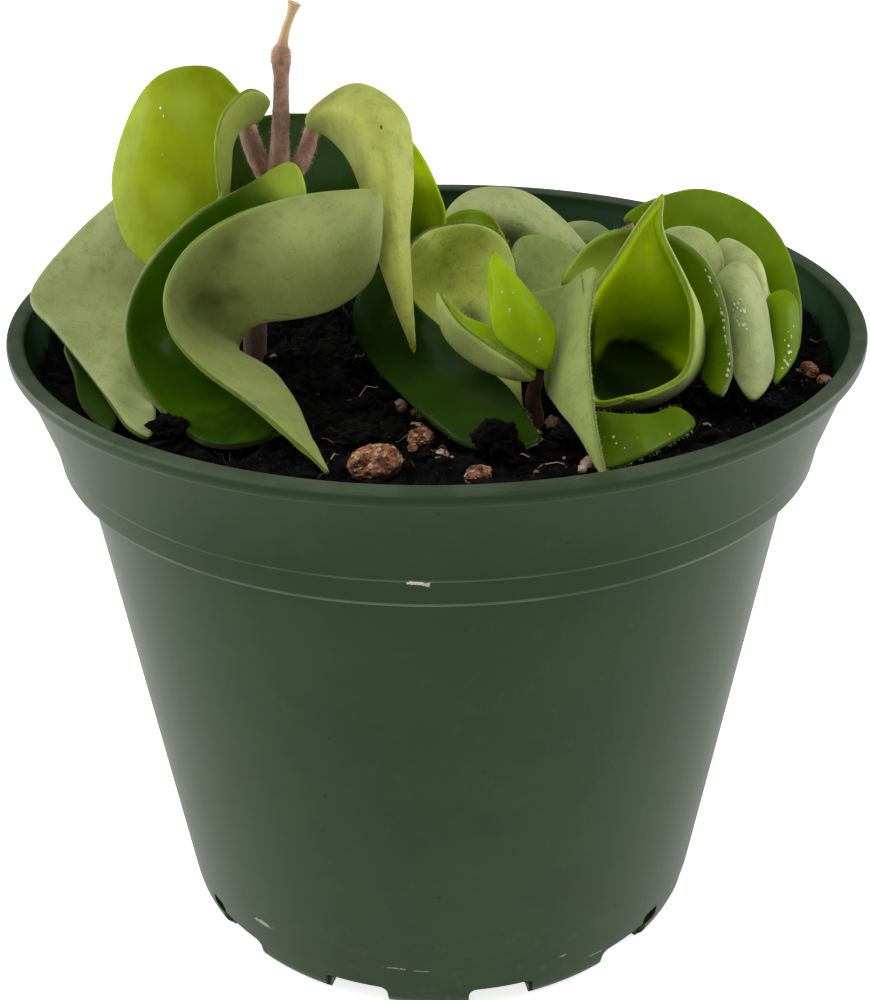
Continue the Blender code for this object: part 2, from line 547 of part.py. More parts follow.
def tube(name, branch, extra, into, look):
    """A round stem through a branch's points, thicker all over by extra."""
    points = [sighted(point[:3]) for point in branch.points]
    radii = [point[3] + extra for point in branch.points]
    steps = 2 * (len(points) - 1)
    places = [along(points, k / steps, beyond(points), beyond(points[::-1])) for k in range(steps + 1)]
    sizes = [along(radii, k / steps, radii[0], radii[-1]) for k in range(steps + 1)]
    if branch.rooted:
        places.insert(0, points[0] - Vector((0.0, 0.0, ROOT_DEPTH + extra)))
        sizes.insert(0, radii[0])
    curve = bpy.data.curves.new(name, "CURVE")
    curve.dimensions = "3D"
    curve.bevel_depth = MM
    curve.bevel_resolution = 2
    curve.use_fill_caps = True
    spline = curve.splines.new("POLY")
    spline.points.add(len(places) - 1)
    for knot, place, size in zip(spline.points, places, sizes):
        knot.co = (*(place * MM), 1.0)
        knot.radius = size
    source = bpy.data.objects.new(name, curve)
    into.objects.link(source)
    graph = bpy.context.evaluated_depsgraph_get()
    mesh = bpy.data.meshes.new_from_object(source.evaluated_get(graph), depsgraph=graph)
    bpy.data.objects.remove(source)
    bm = bmesh.new()
    bm.from_mesh(mesh)
    bmesh.ops.remove_doubles(bm, verts=bm.verts, dist=0.001 * MM)
    bmesh.ops.recalc_face_normals(bm, faces=bm.faces)
    return mesh_object(name, bm, into, look)


def make_vine(name, into, look):
    branches = [branch for branch in BRANCHES if branch.vine == name]
    vine = tube(name, branches[0], 0.0, into, look)
    if len(branches) > 1:
        stalks = collection(name + "_stalks")
        for k, branch in enumerate(branches[1:]):
            tube(f"{name}_stalk_{k}", branch, 0.0, stalks, look)
        union = vine.modifiers.new("Join", "BOOLEAN")
        union.operation = "UNION"
        union.solver = "EXACT"
        union.operand_type = "COLLECTION"
        union.collection = stalks
        apply_modifiers(vine)
        for stalk in list(stalks.objects):
            bpy.data.objects.remove(stalk)
        bpy.data.collections.remove(stalks)
    return vine


def stone_solid(stone, extra, into, look):
    bm = bmesh.new()
    bmesh.ops.create_icosphere(bm, subdivisions=2, radius=1.0)
    for vert in bm.verts:
        bump = 1.0 + 0.16 * noise.noise(vert.co * 1.7 + Vector((3.0 * len(stone.name), 0.0, 0.0)))
        vert.co = Vector([c * bump * (size / 2 + extra) for c, size in zip(vert.co, stone.size)])
    place = sighted(stone.place)
    height = SOIL_HEIGHT + (0.5 - STONE_SUNK) * stone.size[2]
    turn = Matrix.Rotation(stone.turn, 3, "Z")
    for vert in bm.verts:
        vert.co = (turn @ vert.co + Vector((place.x, place.y, height))) * MM
    return mesh_object(stone.name, bm, into, look)


def make_leaf(leaf, into, look):
    surface = leaf_surface(leaf)
    bm = bmesh.new()
    bmesh.ops.create_grid(bm, x_segments=LEAF_LENGTH_STEPS, y_segments=LEAF_WIDTH_STEPS, size=1.0)
    for vert in bm.verts:
        vert.co = surface((vert.co.x + 1) / 2, vert.co.y) * MM
    bmesh.ops.remove_doubles(bm, verts=bm.verts, dist=0.01 * MM)
    made = mesh_object(leaf.name, bm, into, look)
    solid = made.modifiers.new("Thickness", "SOLIDIFY")
    solid.thickness = LEAF_THICKNESS * MM
    solid.offset = 0.0
    apply_modifiers(made)
    merge = made.modifiers.new("Merge walls that meet in a fold", "BOOLEAN")
    merge.operation = "UNION"
    merge.solver = "EXACT"
    merge.operand_type = "COLLECTION"
    merge.use_self = True
    apply_modifiers(made)
    bm = bmesh.new()
    bm.from_mesh(made.data)
    bmesh.ops.triangulate(bm, faces=bm.faces)
    bm.to_mesh(made.data)
    bm.free()
    return made


def main():
    clear_scene()
    plant = collection("hindu_rope_plant")
    plastic = material("pot_plastic", (0.042, 0.085, 0.046), 0.5)
    earth = material("soil_peat", (0.03, 0.02, 0.015), 0.95)
    bark = material("stem_bark", (0.27, 0.16, 0.12), 0.8)
    sprout_bark = material("sprout_stalk", (0.16, 0.04, 0.02), 0.6)
    pumice = material("stone_pumice", (0.45, 0.25, 0.18), 0.9)
    blade = material("leaf_blade", (0.10, 0.20, 0.02), 0.35)
    make_pot(plant, plastic)
    soil = make_soil(plant, earth)
    hollows = collection("soil_cutters")
    for branch in BRANCHES:
        if branch.rooted:
            as_cutter(tube(branch.vine + "_hole", branch, SEAT_GAP, hollows, None))
    for stone in STONES:
        as_cutter(stone_solid(stone, SEAT_GAP, hollows, None))
    cut(soil, hollows)
    for name, look in (("vine_left", bark), ("vine_middle", sprout_bark), ("vine_right", bark), ("vine_back", bark)):
        make_vine(name, plant, look)
    for stone in STONES:
        stone_solid(stone, 0.0, plant, pumice)
    for leaf in LEAVES:
        make_leaf(leaf, plant, blade)


main()
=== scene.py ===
"""A Hindu rope plant in a green nursery pot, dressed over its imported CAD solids.

Every size is in millimetres until a finished mesh is scaled to metres. The leaves and stems follow
the same guide points as the CAD solids, on a finer net. Only the stalk of the young sprout ends
otherwise: it tapers here, where it meets its leaves.
"""

import math
import random
from collections import namedtuple

import bmesh
import bpy
from bpy.props import FloatProperty, FloatVectorProperty, IntProperty, PointerProperty
from mathutils import Matrix, Quaternion, Vector, noise
from mathutils.kdtree import KDTree


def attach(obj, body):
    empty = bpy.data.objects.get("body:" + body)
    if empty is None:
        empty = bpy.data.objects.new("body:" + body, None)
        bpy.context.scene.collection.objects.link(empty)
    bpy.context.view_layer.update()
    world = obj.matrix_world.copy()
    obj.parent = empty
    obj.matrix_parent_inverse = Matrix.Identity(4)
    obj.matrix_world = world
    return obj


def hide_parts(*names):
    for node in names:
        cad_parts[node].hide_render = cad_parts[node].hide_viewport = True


bl_info = {
    "name": "Potted Rope Plant",
    "version": (1, 0, 0),
    "blender": (4, 5, 0),
    "location": "View3D > Sidebar > Rope Plant",
    "description": "Builds a wax plant with folded leaves in a nursery pot",
    "category": "Add Mesh",
}

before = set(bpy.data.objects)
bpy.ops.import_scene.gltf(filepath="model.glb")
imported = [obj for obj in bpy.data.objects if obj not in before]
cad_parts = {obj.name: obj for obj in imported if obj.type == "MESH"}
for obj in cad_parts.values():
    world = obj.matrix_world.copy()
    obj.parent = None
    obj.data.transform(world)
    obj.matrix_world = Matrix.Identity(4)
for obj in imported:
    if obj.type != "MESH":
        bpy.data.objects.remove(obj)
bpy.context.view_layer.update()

MM = 0.001

# The pot's outline
RIM_RADIUS = 54.0
POT_HEIGHT = 87.5
WALL = 1.2
LIP_HEIGHT = 1.9
BAND_TOP_RADIUS = 53.1
BAND_LINE_RADIUS = 49.9
BAND_LINE_HEIGHT = 75.0
BAND_FOOT_RADIUS = 49.5
BAND_FOOT_HEIGHT = 71.6
BODY_TOP_RADIUS = 47.0
BODY_FOOT_RADIUS = 38.9
BODY_FOOT_HEIGHT = 5.2
FOOT_RADIUS = 36.6
FOOT_WIDTH = 1.5
FLOOR_HEIGHT = 2.4
FOOT_COUNT = 12
FOOT_SHARE = 0.55
FOOT_TURN = math.radians(-3.0)
NOTCH_HEIGHT = 2.2
RECESS_HEIGHT = 3.9
RECESS_RADIUS = 37.0
DRAIN_WIDTH = 3.4
DRAIN_HEIGHT = 2.2
DRAIN_MIDDLE = 4.2
DRAIN_TURNS = [math.radians(degrees) for degrees in (-56.0, 50.0, 126.0, 234.0)]

# The soil
SOIL_HEIGHT = 83.0
SOIL_LUMP = 0.9
SOIL_LUMP_SIZE = 9.0
SEAT_GAP = 0.3

# The least size of crumbs, grit and drops, how much more it can be, and how rare the large ones are
CRUMB_SIZES = (0.35, 1.9, 4)
GRIT_SIZES = (0.45, 1.9, 3)
DROP_SIZES = (0.13, 0.26, 2)

# How far from the pot's axis crumbs, grit and fibres lie, and where a fibre ends
CRUMB_REACH = 48.5
GRIT_REACH = 50.0
FIBRE_REACH = 48.0
FIBRE_LIMIT = 49.5

# The viewpoint that the guide points are sighted from
SIGHT_AIM = Vector((0.0, 0.0, 47.5))
SIGHT_DISTANCE = 210.0
SIGHT_ELEVATION = math.radians(30.3)
SIGHT_BACK = Vector((0.0, -math.cos(SIGHT_ELEVATION), math.sin(SIGHT_ELEVATION)))
SIGHT_UP = Vector((0.0, math.sin(SIGHT_ELEVATION), math.cos(SIGHT_ELEVATION)))
SIGHT_EYE = SIGHT_AIM + SIGHT_BACK * SIGHT_DISTANCE

# The steps of a blade's margin at which its distance is measured, and how its net crowds to the ends
MARGIN_STEPS = 160
MARGIN_LAYER = "margin_mm"
CROWDING = 0.08

# The size of a blade's waves, and the thinnest that it gets, as a share
WAVE_SIZE = 5.0
LEAST_SHARE = 0.5

# The grains of pumice that lie in the open: where each is seen, and its size
GRAVEL = [
    (-3.6, 16.2, 1.5), (-5.4, 22.6, 2.6), (-2.8, 21.8, 2.2), (-0.6, 24.0, 1.8), (16.4, 21.0, 2.6),
    (18.6, 22.4, 1.4), (22.0, 14.4, 2.2), (20.6, 13.4, 1.2), (51.4, 28.2, 1.8), (55.2, 26.2, 1.6),
    (-12.6, 18.0, 1.2), (2.2, 16.6, 1.0), (-0.8, 14.6, 1.1), (38.4, 19.4, 1.3),
]

# Marks on the pot's side: where each is seen and its depth, how wide, deep and high it is, its shade,
# and the share of its reach at which its edge begins
Mark = namedtuple("Mark", "place size shade soft", defaults=(0.8,))
MARKS = [
    Mark((-3.3, -2.3, -50.0), (1.1, 3.0, 0.24), 0.66),
    Mark((-1.9, -2.5, -50.0), (0.55, 3.0, 0.3), 0.56),
    Mark((-39.0, -0.9, -27.0), (0.4, 3.0, 0.5), 0.0),
    Mark((-26.7, 4.3, -40.0), (0.4, 3.0, 0.35), 0.0),
    Mark((-25.6, -50.0, -30.0), (1.3, 4.0, 0.45), 0.32),
    Mark((-6.5, -56.1, -37.5), (2.0, 3.0, 0.14), 0.3),
    Mark((-3.0, -56.5, -37.8), (1.4, 3.0, 0.1), 0.26),
    Mark((16.9, -54.3, -34.0), (0.7, 3.0, 0.2), 0.3),
    Mark((21.6, -54.1, -31.0), (1.4, 3.0, 0.14), 0.26),
]

# Painted shade in the deep folds and hollows between the leaves, written like the marks; the shade is how
# dark each is
PAINTED_SHADE = [
    Mark((27.8, 27.2, -18.5), (7.2, 9.0, 4.4), 0.97, 0.7),
    Mark((25.4, 25.6, -24.0), (5.2, 6.0, 3.6), 0.96, 0.5),
    Mark((22.2, 30.4, -24.0), (1.6, 7.0, 6.6), 0.9, 0.4),
    Mark((-29.8, 46.0, -18.8), (2.4, 5.0, 2.6), 0.42, 0.0),
    Mark((-32.8, 38.8, -18.0), (3.6, 5.0, 4.0), 0.55, 0.0),
    Mark((-29.4, 39.0, -18.0), (3.8, 5.0, 1.9), 0.5, 0.0),
    Mark((5.6, 50.2, 3.6), (5.0, 3.6, 2.6), 0.4, 0.2),
    Mark((22.0, 48.0, 22.0), (7.0, 7.0, 4.4), 0.5, 0.1),
    Mark((4.6, 35.2, -8.0), (3.6, 8.0, 2.6), 0.9, 0.05),
    Mark((-32.0, 20.5, -33.0), (9.0, 9.0, 5.0), 0.6, 0.2),
]

# A patch of painted shade darker than this has a smooth edge
DEEP = 0.8

# Places where the light falls on a blade or comes through it; the shade is how strong it is
LIT = [
    Mark((-21.1, 56.3, -8.0), (7.0, 7.0, 3.8), 0.95, 0.3),
    Mark((-35.1, 66.4, -8.0), (2.6, 5.0, 3.2), 0.4, 0.2),
    Mark((-37.7, 53.2, -11.5), (3.0, 5.0, 3.0), 0.35, 0.2),
    Mark((-25.0, 54.6, -8.0), (9.5, 7.0, 5.0), 0.28, 0.2),
    Mark((21.9, 44.2, -7.5), (7.2, 5.0, 5.2), 0.95, 0.45),
    Mark((5.6, 23.4, -24.0), (5.0, 9.0, 5.4), 0.08, 0.1),
    Mark((0.0, 27.4, -20.0), (2.6, 6.0, 1.6), 0.35, 0.2),
]

# Thin dark scars on the blades, written like the marks
SCARS = [
    Mark((22.3, 40.7, -26.5), (0.2, 3.0, 0.9), 0.85, 0.5),
    Mark((21.8, 39.6, -26.0), (0.18, 3.0, 0.7), 0.8, 0.5),
    Mark((20.8, 40.3, -26.5), (0.14, 3.0, 0.8), 0.7, 0.5),
    Mark((22.6, 38.8, -26.5), (0.14, 3.0, 1.0), 0.6, 0.5),
    Mark((-7.7, 62.8, -14.0), (0.17, 6.0, 0.24), 0.9, 0.5),
    Mark((-8.7, 60.5, -14.0), (0.12, 6.0, 0.12), 0.9, 0.5),
    Mark((-21.2, 36.7, -20.0), (1.5, 5.0, 0.2), 0.5, 0.2),
    Mark((-24.6, 35.4, -20.0), (0.9, 5.0, 0.16), 0.45, 0.2),
    Mark((-17.4, 37.2, -20.0), (0.8, 5.0, 0.14), 0.5, 0.2),
]
SCAR_COLOUR = (0.035, 0.04, 0.012)

# Clods of soil that lie against the leaves: where each is seen, and its size
CLODS = [
    ((8.7, 18.0, -37.2), (5.6, 4.0, 5.0)), ((46.1, 22.6, -25.8), (6.0, 4.0, 3.6)),
    ((-38.4, 20.6, -32.0), (4.4, 3.4, 2.6)), ((-11.4, 18.9, -34.6), (5.0, 4.0, 2.8)),
    ((19.2, 18.6, -35.0), (4.6, 3.6, 3.0)),
]

# Leaves with a down of short hairs along their margins, and how many hairs each has
DOWNY = [
    ("leaf_sprout_right", 420), ("leaf_sprout_left", 420), ("leaf_pitcher_side", 420),
    ("leaf_pitcher_flap", 160), ("leaf_centre_trough", 360), ("leaf_crown_right", 140),
    ("leaf_right_collar", 120),
]

# Drops of water: the leaf, how many, and where along it and across it they lie
WET = [
    ("leaf_right_collar", 44, (0.58, 0.93), (-1.0, -0.88)),
    ("leaf_right_tongue", 26, (0.25, 0.6), (-0.4, 0.0)),
    ("leaf_right_small", 16, (0.4, 0.85), (0.0, 0.5)),
    ("leaf_sprout_right", 5, (0.2, 0.7), (-0.5, 0.4)),
    ("leaf_pitcher_flap", 8, (0.3, 0.9), (-0.2, 0.8)),
    ("leaf_crown_left", 4, (0.3, 0.7), (-0.2, 0.6)),
]

# How wide a hair of the leaves' down is, and how far a drop's middle lies from the middle of the blade
DOWN_WIDTH = 0.028
DROP_LIFT = 0.45

# A stem this thin has no hairs, and a hair begins at this share of the stem's radius
HAIRLESS_RADIUS = 0.72
HAIR_DEPTH = 0.9

# The band of the pot widens so much for each millimetre of height
BAND_SLOPE = (BAND_TOP_RADIUS - BAND_LINE_RADIUS) / (POT_HEIGHT - LIP_HEIGHT - BAND_LINE_HEIGHT)

# Where the tallest stem begins to dry, and where it is dry
DRY_TIP = [(-21.9, 73.6, -5.0), (-21.5, 76.8, -5.0)]

# The tones of the leaves: which leaves have it, and the colours of the upper face and the underside
TONES = {
    "bright": ("a leaf in full light", (0.25, 0.35, 0.004), (0.285, 0.335, 0.09)),
    "leafy": ("a young leaf", (0.155, 0.255, 0.001), (0.26, 0.33, 0.075)),
    "soft": ("a leaf with a yellow back", (0.15, 0.25, 0.004), (0.30, 0.36, 0.085)),
    "fresh": ("the new sprout", (0.30, 0.44, 0.002), (0.40, 0.46, 0.12)),
    "yellowing": ("the yellowest leaf", (0.20, 0.28, 0.004), (0.43, 0.48, 0.085)),
    "deep": ("a full-grown leaf", (0.046, 0.108, 0.0005), (0.26, 0.31, 0.12)),
    "dark": ("the oldest leaves", (0.0165, 0.046, 0.0005), (0.24, 0.30, 0.10)),
    "sunny": ("the tallest leaf", (0.27, 0.355, 0.004), (0.31, 0.37, 0.055)),
    # The cup tone's underside is far lighter than the dark tone's: painted light on the shaded inside of
    # the rolled leaf.
    "cup": ("the rolled leaf", (0.0165, 0.046, 0.0005), (0.52, 0.60, 0.10)),
    # The glow tone is far lighter than the leaves' own green: painted light that stands for light coming
    # through a leaf.
    "glow": ("a leaf that is lit through", (0.40, 0.55, 0.001), (0.35, 0.43, 0.07)),
    "mid": ("a half-grown leaf", (0.095, 0.165, 0.001), (0.28, 0.35, 0.08)),
    "cream": ("the palest leaves", (0.14, 0.22, 0.02), (0.46, 0.51, 0.19)),
    "pale": ("a pale leaf", (0.12, 0.19, 0.015), (0.36, 0.41, 0.15)),
}

# Where the lights point, in metres
LIGHT_AIM = Vector((0.0, 0.0, 0.08))

# The camera: its lens and the width of its sensor in millimetres, its shift and its roll in radians
LENS = 52.956
SENSOR_WIDTH = 36.0
LENS_SHIFT = (-0.004, 0.068)
CAMERA_ROLL = -0.009

Leaf = namedtuple("Leaf", "name tone flipped blunt base tip rows")

# Every row of a leaf runs across the blade from one margin to the other, with the midrib in the
# middle, and the rows follow each other from the base to the tip. A blunt leaf has a rounded tip.
# The glossy upper face of a flipped leaf is on the other side of its net.
LEAVES = [
    Leaf("leaf_crown_left", "sunny", True, False, (-25.5, 64.8, -5.8), (-39.6, 42.5, -11.5), [
        [(-23.6, 67.1, -7.6), (-26.6, 63.8, -6.6), (-28.1, 65.4, -5), (-28.5, 67.3, -4),
         (-28.2, 68.6, -3.6)],
        [(-26.4, 68.5, -11), (-28.2, 62.5, -8.5), (-30.7, 65.1, -7), (-32.5, 68.4, -5.5),
         (-32.5, 72, -4.5)],
        [(-29.9, 65.3, -13.2), (-29.5, 60, -10.8), (-34.1, 61.6, -10.5), (-38.6, 64.9, -9),
         (-40.5, 69.9, -5.5)],
        [(-31.3, 61, -14.2), (-29.7, 56.7, -11.4), (-35.4, 56.7, -11.2), (-41.2, 58.3, -10),
         (-45.6, 59, -6.5)],
        [(-31.1, 56.2, -13.9), (-30, 53.1, -11.8), (-35.9, 52.1, -12), (-41.3, 52.2, -11),
         (-45.6, 51.7, -7.5)],
        [(-31.5, 51.9, -13.2), (-30.8, 49.6, -12), (-35.7, 48.1, -12.2), (-40.1, 47.6, -11.5),
         (-43.9, 46.6, -9)],
    ]),
    Leaf("leaf_crown_right", "yellowing", True, False, (-18.2, 63.4, -4), (-3.2, 30.6, -23.5), [
        [(-15.2, 61.8, -5.5), (-14.8, 65.2, -8), (-16.6, 66.2, -4)],
        [(-12.4, 58.8, -9), (-10.8, 64, -12), (-10.8, 69.2, -6)],
        [(-10.6, 54, -13), (-7.6, 59, -15.5), (-4.4, 65, -9)],
        [(-9, 48, -16.5), (-6.5, 51.5, -18.5), (-3.4, 57, -13)],
        [(-7.2, 41.5, -19.5), (-5.6, 43, -21), (-4, 46, -18)],
    ]),
    Leaf("leaf_front_outer", "deep", False, True, (-20.6, 58, -6.5), (-22.3, 19.5, -32), [
        [(-27, 54.9, -12.5), (-23.5, 51.5, -11.5), (-18.6, 52, -8.5)],
        [(-35, 50.2, -17), (-30.5, 44, -13.5), (-22.5, 44, -9)],
        [(-42.3, 42, -19), (-36, 37, -14), (-28, 38, -11)],
        [(-44.5, 33, -22), (-38, 30, -18.5), (-30, 31, -16)],
        [(-40.3, 23.8, -27), (-34.5, 24, -24.5), (-28, 26, -21)],
        [(-32, 17.6, -35.5), (-29, 20, -32), (-24, 22, -28)],
    ]),
    Leaf("leaf_front_inner", "bright", True, False, (-8, 49.4, -21), (-15.5, 13.4, -43.6), [
        [(-8.3, 53.7, -19.5), (-9.8, 48.3, -22.8), (-9.3, 41.6, -21)],
        [(-13.5, 53.9, -18.5), (-15, 46.1, -23.2), (-14.5, 37.2, -21.5)],
        [(-20.7, 53.1, -18.2), (-21.3, 45.3, -21.5), (-20.2, 35.8, -20.5)],
        [(-27.5, 51.1, -19.2), (-28.2, 44.8, -18.6), (-25.3, 35.1, -18.5)],
        [(-34.7, 47, -21.5), (-32.2, 40.3, -18), (-27.9, 32.8, -17)],
        [(-38.8, 40.6, -23.5), (-33.8, 35.9, -19.5), (-28.4, 30.7, -17.5)],
        [(-38.1, 34.2, -25), (-32.9, 32.4, -23), (-26, 29.6, -20.5)],
        [(-33.9, 29, -27.5), (-29.4, 28.1, -26.5), (-22.9, 27.6, -24)],
        [(-28.3, 24.8, -31.5), (-24.8, 24.4, -30.5), (-20.3, 23.8, -29)],
        [(-22.7, 20.2, -37.5), (-20.8, 19.8, -37.2), (-18.6, 19.6, -36.5)],
    ]),
    Leaf("leaf_left_upper", "pale", True, True, (-41.9, 54.9, 3), (-41.2, 18.9, -33.6), [
        [(-47.9, 51.3, 1), (-45.3, 48.1, -1), (-38.6, 47.2, 1)],
        [(-54.2, 45, -3), (-46.9, 43.8, -3.5), (-39.6, 43.2, -2)],
        [(-58.2, 39, -9), (-50, 38.9, -7), (-40.7, 38.3, -5)],
        [(-54.6, 34.4, -14.5), (-48.2, 34.3, -12.5), (-40.9, 34.3, -10)],
        [(-49.7, 27.9, -21), (-45.7, 29.3, -19.5), (-40.7, 29.8, -16)],
        [(-46.3, 23.3, -28.6), (-43.8, 24.2, -25.5), (-40.4, 25.1, -23)],
        [(-44, 20.4, -33), (-42.2, 20.7, -31), (-40.3, 21.4, -29.2)],
    ]),
    Leaf("leaf_left_lower", "dark", False, True, (-48.7, 36.4, -6), (-46.9, 20, -31.8), [
        [(-53, 32.5, -12), (-49.7, 32.7, -9), (-45.4, 32.6, -7)],
        [(-51.9, 28.3, -18), (-47.8, 27.8, -17), (-43.7, 27.4, -16.2)],
        [(-51, 23.9, -24.2), (-47.9, 22.9, -26.2), (-45.3, 22.6, -26.3)],
    ]),
    Leaf("leaf_crown_back", "dark", True, True, (-20.1, 43.3, 1), (-19.3, 65, 13), [
        [(-30.1, 46.5, 3), (-20.1, 47.9, 3.5), (-10, 46.3, 3)],
        [(-31.7, 56.7, 6.5), (-20.1, 55.6, 7.5), (-7.6, 56.5, 6)],
        [(-29, 63.3, 10.5), (-19.9, 63, 12), (-10.1, 63.1, 10.5)],
    ]),
    Leaf("leaf_crown_shoulder", "glow", False, True, (-6.3, 63.6, 2), (-0.8, 45.5, 2.7), [
        [(-8.6, 58.3, 1), (-5.5, 60, 1.5), (-2.6, 60.1, 1.5)],
        [(-6.4, 52.9, 0), (-3, 54.9, -0.3), (0.2, 54.6, 0.5)],
        [(-4.6, 48.6, 1.4), (-1.6, 49.3, 1.2), (1.4, 49.8, 2.2)],
    ]),
    Leaf("leaf_centre_trough", "cup", True, True, (-2.7, 47.1, -7), (9.6, 16.6, -38), [
        [(-4.4, 43.8, -12), (-5.7, 43.4, -10), (-6.5, 43.9, -6), (-1.1, 45.3, -2), (0.4, 48.7, -3)],
        [(-3.4, 38.4, -16.5), (-7.7, 38.4, -14), (-11.2, 38.6, -8), (-1.3, 40.8, -1), (5.4, 49.2, 0)],
        [(0.5, 34.6, -19), (-5.4, 33.4, -18.5), (-11.4, 34, -10.5), (0.8, 37.7, -3.5), (9.2, 47.4, 1)],
        [(5, 30.2, -21.5), (-1.3, 28.3, -22), (-9.3, 29, -16.5), (3.4, 34.5, -9), (11.2, 43.5, -1)],
        [(10.1, 25.7, -25.5), (3.3, 23.6, -27.8), (-5.3, 24.7, -25.5), (7.2, 29.9, -14), (11.4, 37.3, -7)],
        [(12.9, 21.2, -32.5), (7, 20.3, -33.8), (0.1, 19.9, -33), (9.1, 23.1, -27), (11.7, 25.9, -20.5)],
        [(14.4, 17.9, -36), (9.5, 17.3, -37), (4.1, 17.5, -36.6), (9.5, 18.8, -34.6), (12.4, 19.4, -34)],
    ]),
    Leaf("leaf_sprout_right", "fresh", True, False, (15.6, 28.3, -30), (8.1, 45.1, -23), [
        [(13, 29.2, -30.5), (14.9, 31, -30.2), (16.6, 30.4, -30.2)],
        [(8.4, 33, -29.5), (12.4, 35.3, -29.5), (16.7, 34.2, -28)],
        [(7.6, 38.7, -26.5), (10.1, 39.1, -28), (13.5, 38.6, -26.5)],
        [(7.6, 42.7, -24.5), (8.7, 42.3, -25.5), (10.4, 42.5, -24.5)],
    ]),
    Leaf("leaf_sprout_left", "fresh", True, False, (14, 27.1, -30.5), (0.4, 39.4, -25.5), [
        [(11.3, 29.4, -31.5), (10.7, 27.4, -30.3), (13, 31.5, -26.5)],
        [(7.1, 32, -30), (5.9, 29.3, -28), (9.1, 33.9, -24)],
        [(3.2, 35, -28.5), (1.5, 33.3, -26.5), (4.2, 35.8, -23.5)],
    ]),
    Leaf("leaf_pitcher", "glow", True, False, (28.1, 24, -31), (32.5, 53.2, -19.5), [
        [(22.3, 23.4, -30), (24.2, 23, -27.2), (28.5, 23.1, -25.4), (33.3, 24.4, -25.2),
         (34.3, 26.6, -28.4)],
        [(21.1, 27.8, -28.2), (22.5, 27, -22), (29, 30, -14.5), (36.6, 27.6, -20), (36.2, 29.8, -26.5)],
        [(20.9, 32, -27.2), (22.5, 31.4, -18), (29.3, 32.5, -13), (37.4, 31.6, -18), (36.6, 33, -25)],
        [(21.4, 37, -25.7), (23.8, 36.5, -18), (29.6, 36, -17.5), (36.7, 36.5, -18), (36.5, 37.6, -23)],
        [(24.8, 42.4, -22.5), (26.5, 42.3, -20), (30, 42.5, -20), (33.3, 43, -19), (33.9, 43.8, -21)],
        [(28.7, 48.2, -20.5), (29.4, 48.1, -19.5), (30.5, 48, -19), (31.5, 48.2, -19.2), (32.1, 48.4, -20)],
    ]),
    Leaf("leaf_pitcher_side", "soft", False, False, (22.9, 42.5, -26.5), (24, 12.4, -45.2), [
        [(22.4, 39, -29), (20.9, 39.8, -26.5), (18.8, 39.9, -21.5)],
        [(21.7, 34.8, -31.5), (19.1, 35.7, -27.5), (17.3, 35.7, -21)],
        [(21.7, 30.6, -34), (18.3, 30.6, -30), (16, 30.6, -23.8)],
        [(21.9, 26.4, -36.5), (18.4, 26, -33.5), (15.6, 25.8, -26.5)],
        [(22.3, 22.2, -39.5), (19.9, 21.8, -37.5), (17.5, 22.4, -33.5)],
        [(23, 17.6, -42.5), (21.7, 17.4, -41.5), (20.5, 18.8, -39)],
    ]),
    Leaf("leaf_pitcher_flap", "mid", False, True, (36.5, 20.4, -32.8), (20.8, 17.8, -36.8), [
        [(33.7, 22.4, -31.8), (34.8, 20.8, -33.6), (35.8, 19.1, -35.2)],
        [(30.6, 21.5, -33.4), (31.4, 19.4, -36), (32.4, 17.1, -38)],
        [(26.8, 21.6, -35.8), (27.4, 18.8, -38.8), (28.4, 15.2, -41.5)],
        [(21.7, 21.7, -35), (22.6, 17.8, -37.4), (23.5, 14.1, -41.4)],
    ]),
    Leaf("leaf_pitcher_back", "soft", False, False, (9.7, 37, -13.5), (22.7, 42.8, -21.5), [
        [(13.1, 38.9, -13), (13.3, 35.7, -15.5), (13, 29.4, -17.5)],
        [(16.9, 39.7, -15), (16.6, 35.9, -17.5), (15.5, 29.8, -19)],
        [(20.2, 40.9, -18.5), (19.4, 37.3, -19.8), (17.7, 33.1, -20.8)],
    ]),
    Leaf("leaf_right_collar", "mid", True, True, (17.9, 40.3, -8.5), (40.2, 24.2, -28.8), [
        [(20.3, 44.7, -6.5), (21.7, 42.8, -7), (23.2, 39.8, -8.5)],
        [(23.9, 47.6, -7), (25.7, 44.8, -7), (27.4, 40.2, -8)],
        [(28.7, 48.2, -8), (30.4, 44.4, -8), (31.6, 39.7, -8.5)],
        [(33.7, 47.1, -10.5), (34.5, 43.1, -10.2), (34.9, 38.9, -10)],
        [(38, 43.7, -14), (37.5, 39.7, -13), (37, 35.9, -12)],
        [(40.7, 38.4, -18), (39.5, 35.9, -16.8), (37.6, 33, -14.5)],
        [(41.7, 32.9, -22), (39.9, 31.7, -20.5), (37.6, 29.6, -17)],
        [(42, 27.9, -25.5), (40.1, 27.5, -24.5), (37.8, 26.9, -21.5)],
    ]),
    Leaf("leaf_right_pale_inner", "cream", False, True, (37.4, 38.8, -5.5), (37.1, 48.2, -2.4), [
        [(32.9, 43.9, -5), (37.1, 43.5, -5.2), (40.9, 41.8, -8)],
        [(32.3, 47.6, -3), (36.7, 47, -3.2), (40.5, 45.5, -6)],
    ]),
    Leaf("leaf_right_tongue", "pale", True, True, (43, 43.1, -10), (45.1, 23.5, -28.8), [
        [(40.1, 40.9, -10.5), (42.7, 40.7, -13.5), (45.5, 41.1, -10.5)],
        [(40.9, 37.1, -13.5), (43.7, 36.9, -17.5), (46.9, 37.1, -13.5)],
        [(41.6, 32.9, -17.5), (44.5, 32.7, -21), (47.5, 32.9, -17)],
        [(42.3, 27, -23.5), (44.9, 26.6, -25.5), (47.8, 27, -22.8)],
    ]),
    Leaf("leaf_right_outer", "leafy", True, False, (26.9, 49.5, 3), (50, 28.8, -14), [
        [(30.5, 52.2, 5), (31, 50.2, 4), (31.5, 47.5, 3)],
        [(38, 53.7, 5.5), (37.8, 50.5, 3.5), (37, 46.5, 2)],
